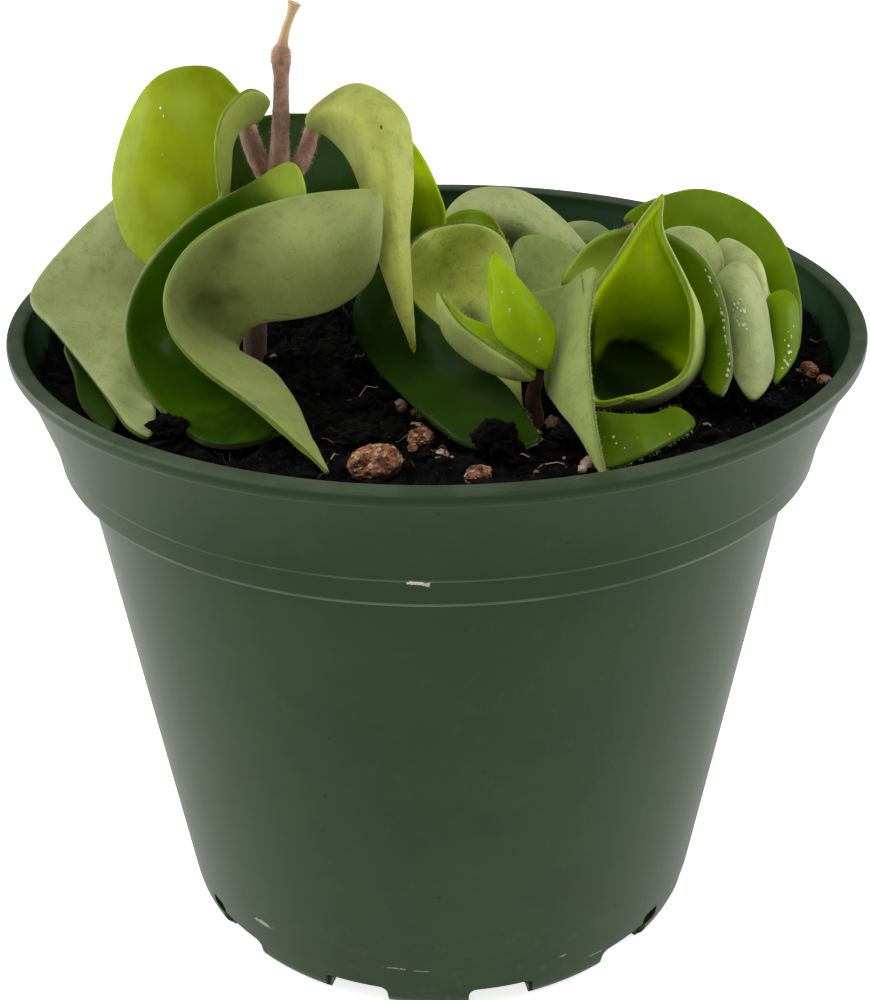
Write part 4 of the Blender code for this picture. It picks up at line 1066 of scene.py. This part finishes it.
def make_down(settings):
    """The short pale hairs along the margins of the young leaves."""
    draw = random.Random(settings.seed)
    surfaces = {leaf.name: leaf_surface(leaf) for leaf in LEAVES}
    spots = []
    for name, number in DOWNY:
        for _ in range(number):
            place, normal, out = facing(surfaces[name], draw.uniform(0.14, 0.97), draw.choice((-1, 1)))
            stray = Vector([draw.uniform(-0.3, 0.3) for _ in range(3)])
            lean = (out + normal * draw.uniform(-0.7, 0.9) + stray).normalized()
            sizes = (DOWN_WIDTH, DOWN_WIDTH, draw.uniform(0.25, 0.6))
            spots.append((0, standing(place + out * 0.05, lean, sizes)))
    rim = tint(tuple(settings.rim), 2.0)
    look = fine_look("leaf_down", rim, (0.75, 0.80, 0.52), roughness=0.5, spread=0.2)
    return scattered("leaf_down", [hair_mesh()], spots, look)


def make_drops(settings):
    """Small drops of water on the leaves, glossy, with a pale colour that is a painted glint."""
    draw = random.Random(settings.seed + 1)
    bm = bmesh.new()
    bmesh.ops.create_icosphere(bm, subdivisions=2, radius=0.5)
    drop = mesh_of("drop", bm, 1.0)
    surfaces = {leaf.name: leaf_surface(leaf) for leaf in LEAVES}
    spots = []
    for name, number, run, width in WET:
        for _ in range(number):
            place, normal, _ = facing(surfaces[name], draw.uniform(*run), draw.uniform(*width))
            size = random_size(draw, DROP_SIZES)
            sizes = (size, size * draw.uniform(1.0, 2.4), 0.5 * size)
            spots.append((0, standing(place + normal * DROP_LIFT, normal, sizes)))
    # Painted highlight: the drops have a glossy coat, but their pale green-white colour stands for the
    # glints on wet leaves.
    look = fine_look(
        "water_drop", (0.40, 0.52, 0.24), (0.66, 0.74, 0.50), roughness=0.1, spread=0.05,
        Coat_Weight=1.0, Coat_Roughness=0.03,
    )
    return scattered("leaf_drops", [drop], spots, look)


def make_stone(stone, settings):
    """A stone of rough pumice, sunk in the soil where its CAD solid lies."""
    bm = bmesh.new()
    bmesh.ops.create_icosphere(bm, subdivisions=5, radius=1.0)
    for vert in bm.verts:
        way = vert.co.copy()
        bump = 1.0 + 0.16 * noise.noise(way * 1.7 + Vector((3.0 * len(stone.name), 0.0, 0.0)))
        bump += 0.08 * noise.fractal(way * 4.0, 0.6, 2.2, 5)
        pits = noise.voronoi(way * 6.5)[0]
        bump -= 0.08 * max(0.0, 1.0 - pits[0] / 0.4)
        vert.co = Vector([c * bump * size / 2 for c, size in zip(way, stone.size)])
    place = sighted(stone.place)
    height = SOIL_HEIGHT + (0.5 - STONE_SUNK) * stone.size[2]
    bmesh.ops.rotate(bm, verts=bm.verts, cent=(0, 0, 0), matrix=Matrix.Rotation(stone.turn, 3, "Z"))
    bmesh.ops.translate(bm, verts=bm.verts, vec=(place.x, place.y, height))
    look = pumice_look(stone.name + "_pumice", settings, mixed=0.0)
    return new_piece(stone.name + "_rough", bm, [look], [stone.name], crease=180.0)


def make_leaf(leaf, looks, settings):
    """A blade through a leaf's guide points, thick in the middle and thin at its margin."""
    surface = leaf_surface(leaf)
    margin = KDTree(2 * MARGIN_STEPS + 2)
    for k in range(MARGIN_STEPS + 1):
        for side in (-1, 1):
            margin.insert(surface(k / MARGIN_STEPS, side), 2 * k + (side > 0))
    margin.balance()
    bm = bmesh.new()
    bmesh.ops.create_grid(bm, x_segments=settings.length_steps, y_segments=settings.width_steps, size=1.0)
    near = bm.verts.layers.float.new(MARGIN_LAYER)
    for vert in bm.verts:
        u = 0.5 * (vert.co.x + 1) - CROWDING * math.sin(math.pi * (vert.co.x + 1))
        vert.co = surface(u, math.sin(0.5 * math.pi * vert.co.y))
        vert[near] = margin.find(vert.co)[2]
    bmesh.ops.remove_doubles(bm, verts=bm.verts, dist=0.01)
    if leaf.flipped:
        bmesh.ops.reverse_faces(bm, faces=bm.faces)
    bm.normal_update()
    for vert in bm.verts:
        vert.co += vert.normal * settings.waviness / MM * noise.noise(vert.co / WAVE_SIZE)
    bm.verts.index_update()
    shares = [max(LEAST_SHARE, blade_share(vert[near], settings)) for vert in bm.verts]
    piece = new_piece(leaf.name + "_blade", bm, looks, [leaf.name])
    thick = piece.vertex_groups.new(name="thickness")
    for index, weight in enumerate(shares):
        thick.add([index], weight, "REPLACE")
    solid = piece.modifiers.new("Thickness", "SOLIDIFY")
    solid.thickness = settings.thickness
    solid.offset = 0.0
    solid.vertex_group = "thickness"
    solid.material_offset = 1
    solid.material_offset_rim = 2
    finer = piece.modifiers.new("Smooth", "SUBSURF")
    finer.levels = finer.render_levels = 1
    return piece


def blade_share(distance, settings):
    """The share of its full thickness that a blade has at a distance from its margin."""
    inside = min(distance * MM / settings.margin_width, 1.0)
    return math.sqrt(1.0 - (1.0 - inside) ** 2)


def tint(colour, factor, towards=(1.0, 1.0, 1.0), share=0.0):
    """A colour made lighter or darker, then moved some way towards another."""
    return tuple((1 - share) * min(part * factor, 1.0) + share * aim for part, aim in zip(colour, towards))


def pot_look(settings):
    """Matt moulded plastic: uneven gloss, a fine grain, a dusty film low down, and a few marks, with
    painted highlights on the lip and along the band's two lines, and painted light on the inside of the
    wall.
    """
    look = Look("pot_green_plastic")
    base = tuple(settings.colour)
    pale = tint(base, 1.0, (0.30, 0.33, 0.25), 0.6)
    place = look.place()
    height = look.height(place)
    cloud = look.noise(place, 16.0, detail=4.0)
    drag = look.noise(place, 5.0, detail=3.0, stretch=(1.0, 1.0, 0.25))
    grain = look.noise(place, 0.22, detail=2.0)
    fine = look.noise(place, 0.9, detail=3.0)
    worn = look.noise(place, 0.4, detail=3.0)
    sheen_and_scuffs = look.noise(place, 6.0, detail=4.0, roughness=0.6)
    dust = look.noise(place, 2.4, detail=6.0, roughness=0.7).ramp(0.52, 0.75)
    low = height.ramp(22.0, 2.0) * 0.35 + 0.1
    radius = look.vector("LENGTH", look.vector("MULTIPLY", place, (1.0, 1.0, 0.0)), output="Value")
    sheared = radius - (height - BAND_LINE_HEIGHT) * BAND_SLOPE
    wall = sheared.ramp(BAND_LINE_RADIUS - 0.3, BAND_LINE_RADIUS - 0.9)
    upper = height.ramp(POT_HEIGHT - 1.2, POT_HEIGHT - 2.0) * height.ramp(SOIL_HEIGHT - 12, SOIL_HEIGHT - 9)
    crumbs = look.noise(place, 0.7, detail=4.0, roughness=0.75).ramp(0.56, 0.66)
    dirt = crumbs * height.ramp(SOIL_HEIGHT + 2.4, SOIL_HEIGHT - 0.4)
    lip = height.ramp(POT_HEIGHT - 0.7, POT_HEIGHT - 0.25)
    layers = [
        (cloud.ramp(0.3, 0.7), tint(base, 1.1)),
        (dust * low * 0.45, tint(base, 1.0, (0.30, 0.27, 0.20), 0.45)),
        (wall * upper * dirt, (0.02, 0.013, 0.009)),
    ]
    # Painted highlights: pale lines along the mould line and the foot of the band, where the ridges catch
    # the light.
    for middle, reach, strength in ((BAND_LINE_HEIGHT, 0.22, 0.22), (BAND_FOOT_HEIGHT + 0.2, 0.28, 0.4)):
        above = height.ramp(middle - reach, middle - 0.4 * reach)
        line = above * height.ramp(middle + reach, middle + 0.4 * reach)
        layers.append((line * cloud.ramp(0.2, 0.6) * strength, pale))
    layers += [
        # Painted light: the inside of the wall above the soil is made lighter and bluer, though it lies in
        # shade.
        (wall * upper * 0.8, tint(base, 1.5, (0.02, 0.05, 0.05), 0.3)),
        # Painted highlight: the top of the lip is paler, unevenly so, as if scuffed.
        (lip * (0.16 + sheen_and_scuffs.ramp(0.3, 0.75) * 0.2), pale),
        (look.cells(place, 7.0).ramp(0.045, 0.03) * 0.7, tint(base, 0.25)),
    ]
    for mark in MARKS:
        shade = (mark.shade, 0.95 * mark.shade, 0.82 * mark.shade)
        layers.append((mark_mask(look, place, mark, worn) * 0.75, shade))
    return look.finish(
        Base_Color=look.layered(tint(base, 0.88), layers),
        Roughness=settings.roughness + cloud * 0.1 + dust * low * 0.2,
        Specular_IOR_Level=0.14,
        Specular_Tint=(1.0, 0.96, 0.85),
        Normal=look.bump(grain * 0.5 + fine * 0.35 + drag * 0.6, 0.035),
    )


def mark_mask(look, place, mark, worn):
    """1 inside the ellipsoid of a mark and 0 well outside it, with an edge worn by a noise."""
    offset = look.vector("SUBTRACT", place, tuple(sighted(mark.place)))
    scaled = look.vector("MULTIPLY", offset, tuple(1 / part for part in mark.size))
    reach = look.vector("LENGTH", scaled, output="Value")
    return (reach + worn * 2.4 - 1.2).ramp(1.0, mark.soft)


def soil_look(name, settings, brown):
    """Damp peat: near black, with brown crumbs and a few bright damp glints."""
    look = Look(name)
    dark = tuple(settings.colour)
    place = look.place()
    clod = look.noise(place, 2.6, detail=4.0)
    crumb = look.noise(place, 0.55, detail=4.0, roughness=0.7)
    fine = look.noise(place, 0.25, detail=3.0, roughness=0.7)
    damp = look.noise(place, 3.4, detail=2.0).ramp(0.5, 0.65)
    glint = look.noise(place, 0.6, detail=2.0).ramp(0.6, 0.68) * damp
    specks = look.cells(place, 1.1).ramp(0.2, 0.1) * clod.ramp(0.5, 0.6)
    colour = look.layered(tint(dark, 0.6), [
        (clod.ramp(0.35, 0.7), tint(dark, 1.5)),
        (crumb.ramp(0.5, 0.8) * brown, tint(dark, 3.0, (0.07, 0.038, 0.02), 0.3)),
        (specks * 0.5, (0.16, 0.09, 0.05)),
    ])
    return look.finish(
        Base_Color=colour,
        Roughness=0.9 - damp * 0.25 - glint * 0.35,
        Specular_IOR_Level=0.15,
        Normal=look.bump(clod * 0.5 + crumb + fine * 0.4, 0.8),
    )


def pumice_look(name, settings, mixed):
    """Porous volcanic stone: rusty pink with pale grains and dark pores."""
    look = Look(name)
    rust = tuple(settings.stone)
    place = look.place()
    patch = look.noise(place, 1.1, detail=5.0, roughness=0.65)
    batch = look.noise(place, 6.0, detail=1.0)
    pores = look.cells(place, 0.55)
    grains = look.cells(place, 0.8)
    earth = look.noise(place, 0.8, detail=4.0).ramp(0.56, 0.68)
    colour = look.layered(tint(rust, 0.3), [
        (patch.ramp(0.38, 0.62), tint(rust, 1.35)),
        (batch.ramp(0.4, 0.62) * mixed * 0.8, (0.55, 0.46, 0.36)),
        (batch.ramp(0.45, 0.3) * mixed * 0.7, (0.30, 0.10, 0.04)),
        (grains.ramp(0.42, 0.28) * patch.ramp(0.42, 0.52) * 0.8, (0.78, 0.55, 0.33)),
        (pores.ramp(0.3, 0.14) * patch.ramp(0.62, 0.5) * 0.85, tint(rust, 0.07)),
        (earth * 0.6, tuple(settings.colour)),
    ])
    relief = pores.ramp(0.1, 0.4) * 0.8 + patch * 0.8 + look.noise(place, 0.3, detail=3.0) * 0.7
    return look.finish(Base_Color=colour, Roughness=0.78 + patch * 0.15, Normal=look.bump(relief, 0.4))


def fibre_look():
    """Fine roots, from dark brown to straw."""
    look = Look("root_fibre")
    place = look.place()
    kind = look.noise(place, 7.0, detail=1.0)
    colour = look.mix(kind.ramp(0.48, 0.62), (0.05, 0.026, 0.016), (0.42, 0.33, 0.23))
    grain = look.noise(place, 0.2)
    return look.finish(Base_Color=colour, Roughness=0.7 + grain * 0.2, Normal=look.bump(grain, 0.04))


def bark_look(name, colour, tip):
    """Downy young bark with darker rings, drying to straw at the tip, and with painted shade low down near
    the soil.
    """
    look = Look(name)
    place = look.place()
    height = look.height(place)
    patch = look.noise(place, 1.2, detail=4.0)
    streak = look.noise(place, 0.35, detail=3.0, stretch=(1.0, 1.0, 0.3))
    fine = look.noise(place, 0.16, detail=2.0)
    low, high = (sighted(point).z for point in DRY_TIP)
    bark = look.layered(tint(colour, 0.62), [
        (patch.ramp(0.3, 0.7), tint(colour, 1.3)),
        (streak.ramp(0.5, 0.75) * 0.4, tint(colour, 1.5, (0.6, 0.5, 0.42), 0.3)),
        (height.ramp(low, high), tip),
        # Painted shade: the bark is darker low down near the soil, where the leaves shade it.
        (height.ramp(SOIL_HEIGHT + 15.0, SOIL_HEIGHT + 5.0) * 0.7, tint(colour, 0.2)),
    ])
    return look.finish(
        Base_Color=bark,
        Roughness=0.72 + patch * 0.15,
        Sheen_Weight=0.35,
        Sheen_Roughness=0.4,
        Normal=look.bump(streak * 0.7 + fine * 0.5 + patch, 0.12),
    )


def fine_look(name, first, second, roughness, spread, **inputs):
    """The look of hairs or drops: two colours mixed by a noise, which also makes it rougher or smoother."""
    look = Look(name)
    kind = look.noise(look.place(), 1.5)
    colour = look.mix(kind, first, second)
    return look.finish(Base_Color=colour, Roughness=roughness + kind * spread, **inputs)


def flesh(settings):
    """The inputs of a shader for the light that a fleshy blade lets through."""
    return {
        "Subsurface_Weight": settings.translucence,
        "Subsurface_Radius": (0.35, 0.8, 0.12),
        "Subsurface_Scale": 0.0016,
    }


def upper_look(name, colour, pale, settings):
    """The glossy upper face: deep green clouded with yellow, with faint pale flecks and a light margin,
    painted shade in the deep folds, painted light on the lit places, and scars.
    """
    look = Look(name)
    place = look.place()
    cloud = look.noise(place, 7.0, detail=3.0)
    mottle = look.noise(place, 1.5, detail=4.0, roughness=0.6)
    grain = look.noise(place, 0.3, detail=3.0)
    shade = look.layered(tint(colour, 0.84), [
        (cloud.ramp(0.3, 0.7), tint(colour, 1.12)),
        (mottle.ramp(0.42, 0.75) * 0.3, tint(colour, 1.25)),
        (look.cells(place, 1.9).ramp(0.11, 0.05) * 0.3, tint(colour, 1.4, pale, 0.2)),
        (look.margin().ramp(0.25, 0.05) * 0.6, tint(colour, 0.8, pale, 0.12)),
        *folds(look, place, tint(colour, 0.03, (0.006, 0.02, 0.003), 0.6), (0.38, 0.50, 0.05)),
    ])
    return look.finish(
        Base_Color=shade,
        Roughness=settings.gloss + mottle * 0.12 + grain * 0.06,
        Specular_IOR_Level=0.06,
        Coat_Weight=0.02 + cloud * 0.05,
        Coat_Roughness=0.16,
        Normal=look.bump(cloud * 0.8 + mottle * 0.3 + grain * 0.1, 0.12),
        **flesh(settings),
    )


def under_look(name, colour, green, settings):
    """The matt underside: pale, mottled with the green beneath, and finely speckled, with painted shade in
    the deep folds, painted light on the lit places, and scars.
    """
    look = Look(name)
    place = look.place()
    cloud = look.noise(place, 5.0, detail=4.0)
    mottle = look.noise(place, 1.6, detail=5.0, roughness=0.62)
    fuzz = look.noise(place, 0.28, detail=3.0, roughness=0.65)
    specks = look.cells(place, 1.2).ramp(0.12, 0.05) * cloud.ramp(0.35, 0.55)
    pits = look.cells(place, 0.45).ramp(0.16, 0.08) * mottle.ramp(0.4, 0.6)
    shade = look.layered(tint(colour, 1.07), [
        (cloud.ramp(0.3, 0.72), tint(colour, 0.88, green, 0.08)),
        (mottle.ramp(0.48, 0.72) * 0.5, tint(colour, 0.55, green, 0.3)),
        (fuzz.ramp(0.45, 0.8) * 0.35, tint(colour, 1.35)),
        (specks * 0.55, tint(green, 0.3)),
        (pits * 0.35, tint(colour, 0.45, green, 0.4)),
        (look.margin().ramp(0.3, 0.1) * 0.3, tint(green, 0.9, colour, 0.35)),
        *folds(look, place, tint(green, 0.1), tint(colour, 1.1)),
    ])
    return look.finish(
        Base_Color=shade,
        Roughness=0.5 + mottle * 0.12 + fuzz * 0.08,
        Specular_IOR_Level=0.3,
        Sheen_Weight=0.12,
        Sheen_Roughness=0.5,
        Normal=look.bump(cloud * 0.8 + mottle * 0.5 + fuzz * 0.3, 0.14),
        **flesh(settings),
    )


def folds(look, place, dark, light):
    """The layers of painted shade in the deep folds, of painted light on the lit places, and of the scars.
    """
    calm = look.noise(place, 5.0, detail=2.0) * 0.2 + 0.4
    rough = look.noise(place, 3.2, detail=5.0, roughness=0.62) * 0.7 + 0.15
    fine = look.noise(place, 0.6, detail=3.0)
    spots = [(spot, calm if spot.shade > DEEP else rough, dark) for spot in PAINTED_SHADE]
    spots += [(spot, calm, light) for spot in LIT] + [(spot, fine, SCAR_COLOUR) for spot in SCARS]
    return [(mark_mask(look, place, spot, worn) * spot.shade, other) for spot, worn, other in spots]


def margin_look(name, colour, settings):
    """The thin pale rim between the two faces, with painted shade in the deep folds, painted light on the
    lit places, and scars.
    """
    look = Look(name)
    place = look.place()
    run = look.noise(place, 2.0, detail=3.0)
    shade = look.layered(tint(colour, 0.85), [
        (run.ramp(0.3, 0.7), tint(colour, 1.15)),
        *folds(look, place, tint(colour, 0.1), tint(colour, 1.5)),
    ])
    return look.finish(
        Base_Color=shade, Roughness=0.42 + run * 0.1, Specular_IOR_Level=0.15, **flesh(settings)
    )


def leaf_looks(tone, settings):
    """The upper face, the underside and the rim of the leaves of one tone."""
    upper = tuple(getattr(settings, tone + "_upper"))
    under = tuple(getattr(settings, tone + "_under"))
    return [
        upper_look(f"leaf_{tone}_upper", upper, tint(under, 1.1), settings),
        under_look(f"leaf_{tone}_under", under, upper, settings),
        margin_look(f"leaf_{tone}_rim", tint(upper, 0.55, tuple(settings.rim), 0.5), settings),
    ]


def floor_look(settings):
    """The white floor, which shines of itself like a lit table."""
    look = Look("studio_floor")
    place = look.place()
    cloud = look.noise(place, 60.0)
    colour = tuple(settings.floor)
    return look.finish(
        Base_Color=look.mix(cloud, tint(colour, 0.99), colour),
        Roughness=0.75 + cloud * 0.1,
        Emission_Color=(1.0, 1.0, 1.0),
        Emission_Strength=settings.glow,
    )


def colour(name, description, default):
    return FloatVectorProperty(
        name=name, description=description, default=default, size=3, min=0.0, max=1.0, subtype="COLOR"
    )


def length(name, description, millimetres):
    return FloatProperty(
        name=name, description=description, default=millimetres * MM, min=0.0, unit="LENGTH", precision=5
    )


def share(name, description, default):
    return FloatProperty(
        name=name, description=description, default=default, min=0.0, max=1.0, subtype="FACTOR"
    )


def power(name, description, watts):
    return FloatProperty(name=name, description=description, default=watts, unit="POWER")


def count(name, description, default, low=0):
    return IntProperty(name=name, description=description, default=default, min=low)


class PotSettings(bpy.types.PropertyGroup):
    """Size of the mould line and finish of the pot."""

    colour: colour("Plastic", "Colour of the pot", (0.0120, 0.0345, 0.0082))
    roughness: share("Roughness", "How matt the plastic is", 0.38)
    mould_line: length("Mould line", "How far the line round the band stands out", 0.07)
    steps: count("Steps", "Faces round the pot", 240, 48)


class SoilSettings(bpy.types.PropertyGroup):
    """Relief, crumbs and colours of the soil."""

    colour: colour("Peat", "Colour of the damp peat", (0.0018, 0.0014, 0.0013))
    stone: colour("Pumice", "Colour of the stones", (0.38, 0.145, 0.065))
    relief: length("Relief", "How rough the soil's top is", 2.2)
    clod_size: length("Clod size", "How far apart the clods are", 5.2)
    grid: count("Grid", "Faces along each side of the soil's top", 200, 40)
    crumbs: count("Crumbs", "Number of loose crumbs of peat", 5000)
    grit: count("Grit", "Number of small grains of pumice", 70)
    fibres: count("Fibres", "Number of fine roots and fibres", 110)
    seed: count("Seed", "Number that fixes where crumbs, grit and fibres lie", 5)


class StemSettings(bpy.types.PropertyGroup):
    """Bark and down of the stems."""

    colour: colour("Bark", "Colour of the stems", (0.37, 0.20, 0.135))
    sprout: colour("Sprout bark", "Colour of the youngest stem", (0.19, 0.045, 0.012))
    dry: colour("Dry tip", "Colour of the cut, dried tip", (0.62, 0.41, 0.20))
    down: colour("Down", "Colour of the hairs on the stem", (0.62, 0.47, 0.40))
    hair_length: length("Hair length", "Length of the hairs on the stem", 0.42)
    hair_width: length("Hair width", "Width of a hair at its root", 0.05)
    hairs: count("Hairs", "Number of hairs on the main stem", 2600)
    seed: count("Seed", "Number that fixes where the hairs stand", 11)


class LeafSettings(bpy.types.PropertyGroup):
    """Thickness, margin, net and colours of the leaves."""

    thickness: length("Thickness", "Thickness of a blade along its middle", 0.95)
    margin_width: length("Margin width", "How far from its margin a blade begins to thin", 0.4)
    waviness: length("Waviness", "How uneven a blade is", 0.2)
    length_steps: count("Length steps", "Faces of a blade from base to tip", 40, 8)
    width_steps: count("Width steps", "Faces of a blade from margin to margin", 20, 6)
    gloss: share("Roughness", "How dull the wax of the upper face is", 0.36)
    translucence: share("Translucence", "How much light a blade lets into its flesh", 0.25)
    seed: count("Seed", "Number that fixes where hairs and drops lie", 7)
    rim: colour("Rim", "Colour that every rim tends to", (0.20, 0.26, 0.07))


for tone, (leaves, upper, under) in TONES.items():
    LeafSettings.__annotations__[tone + "_upper"] = colour(
        f"{tone.title()} upper face", f"Upper face of {leaves}", upper
    )
    LeafSettings.__annotations__[tone + "_under"] = colour(
        f"{tone.title()} underside", f"Underside of {leaves}", under
    )


class StageSettings(bpy.types.PropertyGroup):
    """Floor and light."""

    floor: colour("Floor", "Colour of the floor", (0.93, 0.93, 0.93))
    glow: share("Glow", "How much the floor shines of itself, as a lit table does", 0.78)
    key: power("Key light", "Power of the light above", 2.8)
    side: power("Side lights", "Power of each side light", 2.9)
    sky: FloatProperty(
        name="Sky", description="Strength of the light from all round", default=0.22, min=0.0
    )


class RopePlantSettings(bpy.types.PropertyGroup):
    """All the settings of the potted rope plant."""

    pot: PointerProperty(type=PotSettings)
    soil: PointerProperty(type=SoilSettings)
    stems: PointerProperty(type=StemSettings)
    leaves: PointerProperty(type=LeafSettings)
    stage: PointerProperty(type=StageSettings)


class MakePot(bpy.types.Operator):
    """Turn the pot and cut its feet and drain slots"""

    bl_idname = "rope_plant.make_pot"
    bl_label = "Make Pot"

    def execute(self, context):
        make_pot(context.scene.rope_plant.pot)
        return {"FINISHED"}


class MakeSoil(bpy.types.Operator):
    """Fill the pot with peat and lay crumbs, grit and fibres on it"""

    bl_idname = "rope_plant.make_soil"
    bl_label = "Make Soil"

    def execute(self, context):
        settings = context.scene.rope_plant.soil
        make_soil(settings)
        make_crumbs(settings)
        make_clods(settings)
        make_grit(settings)
        make_fibres(settings)
        return {"FINISHED"}


class MakeStones(bpy.types.Operator):
    """Lay the larger stones in the soil"""

    bl_idname = "rope_plant.make_stones"
    bl_label = "Make Stones"

    def execute(self, context):
        for stone in STONES:
            make_stone(stone, context.scene.rope_plant.soil)
        return {"FINISHED"}


class MakeStems(bpy.types.Operator):
    """Grow the stems and the down on the tallest one"""

    bl_idname = "rope_plant.make_stems"
    bl_label = "Make Stems"

    def execute(self, context):
        settings = context.scene.rope_plant.stems
        bark = bark_look("stem_bark", tuple(settings.colour), tuple(settings.dry))
        sprout = bark_look("sprout_stalk", tuple(settings.sprout), tuple(settings.dry))
        for name in ("vine_left", "vine_right", "vine_back"):
            make_vine(name, bark)
        make_vine("vine_middle", sprout)
        make_hairs(settings)
        return {"FINISHED"}


class MakeLeaves(bpy.types.Operator):
    """Shape every leaf, with its down and drops of water"""

    bl_idname = "rope_plant.make_leaves"
    bl_label = "Make Leaves"

    def execute(self, context):
        settings = context.scene.rope_plant.leaves
        looks = {tone: leaf_looks(tone, settings) for tone in sorted({leaf.tone for leaf in LEAVES})}
        for leaf in LEAVES:
            make_leaf(leaf, looks[leaf.tone], settings)
        make_down(settings)
        make_drops(settings)
        return {"FINISHED"}


class MakeStage(bpy.types.Operator):
    """Set the floor, the lights and the camera"""

    bl_idname = "rope_plant.make_stage"
    bl_label = "Make Stage"

    def execute(self, context):
        settings = context.scene.rope_plant.stage
        make_floor(settings)
        make_lights(settings)
        make_camera()
        return {"FINISHED"}


OPERATORS = (MakePot, MakeSoil, MakeStones, MakeStems, MakeLeaves, MakeStage)


class RopePlantPanel(bpy.types.Panel):
    """The settings and the steps of the plant"""

    bl_idname = "VIEW3D_PT_rope_plant"
    bl_label = "Rope Plant"
    bl_space_type = "VIEW_3D"
    bl_region_type = "UI"
    bl_category = "Rope Plant"

    def draw(self, context):
        for key, group in context.scene.rope_plant.bl_rna.properties.items():
            if key in ("rna_type", "name"):
                continue
            box = self.layout.box()
            box.label(text=group.name or key.title())
            settings = getattr(context.scene.rope_plant, key)
            for name in settings.__annotations__:
                box.prop(settings, name)
        for operator in OPERATORS:
            self.layout.operator(operator.bl_idname)


def make_floor(settings):
    bm = bmesh.new()
    bmesh.ops.create_grid(bm, x_segments=2, y_segments=2, size=3.0)
    mesh = mesh_of("studio_floor", bm, 1.0)
    mesh.materials.append(floor_look(settings))
    shown("studio_floor", mesh)


def add_light(name, place, power, size):
    """A soft light of this width and height that faces the plant."""
    light = bpy.data.lights.new(name, "AREA")
    light.energy = power
    light.shape = "RECTANGLE"
    light.size, light.size_y = size
    made = shown(name, light)
    made.location = place
    made.rotation_euler = (LIGHT_AIM - Vector(place)).to_track_quat("-Z", "Y").to_euler()


def make_lights(settings):
    add_light("key_light", (-0.15, -0.2, 0.8), settings.key, (0.7, 0.7))
    add_light("left_light", (-0.6, 0.1, 0.25), settings.side, (0.25, 0.6))
    add_light("right_light", (0.6, 0.1, 0.25), settings.side, (0.25, 0.6))
    world = bpy.data.worlds.new("studio")
    world.use_nodes = True
    background = world.node_tree.nodes["Background"]
    background.inputs["Color"].default_value = (1.0, 1.0, 1.0, 1.0)
    background.inputs["Strength"].default_value = settings.sky
    bpy.context.scene.world = world
    bpy.context.scene.view_settings.view_transform = "Standard"


def make_camera():
    camera = bpy.data.cameras.new("camera")
    camera.lens = LENS
    camera.sensor_width = SENSOR_WIDTH
    camera.shift_x, camera.shift_y = LENS_SHIFT
    camera.clip_start = 0.01
    made = shown("camera", camera)
    made.location = SIGHT_EYE * MM
    turn = (-SIGHT_BACK).to_track_quat("-Z", "Y") @ Quaternion((0.0, 0.0, 1.0), CAMERA_ROLL)
    made.rotation_euler = turn.to_euler()
    bpy.context.scene.camera = made


CLASSES = (
    PotSettings, SoilSettings, StemSettings, LeafSettings, StageSettings, RopePlantSettings, *OPERATORS,
    RopePlantPanel,
)


def register():
    for kind in CLASSES:
        bpy.utils.register_class(kind)
    bpy.types.Scene.rope_plant = PointerProperty(type=RopePlantSettings)


def unregister():
    del bpy.types.Scene.rope_plant
    for kind in reversed(CLASSES):
        bpy.utils.unregister_class(kind)


def main():
    register()
    bpy.ops.rope_plant.make_pot()
    bpy.ops.rope_plant.make_soil()
    bpy.ops.rope_plant.make_stones()
    bpy.ops.rope_plant.make_stems()
    bpy.ops.rope_plant.make_leaves()
    bpy.ops.rope_plant.make_stage()


if __name__ == "__main__":
    main()
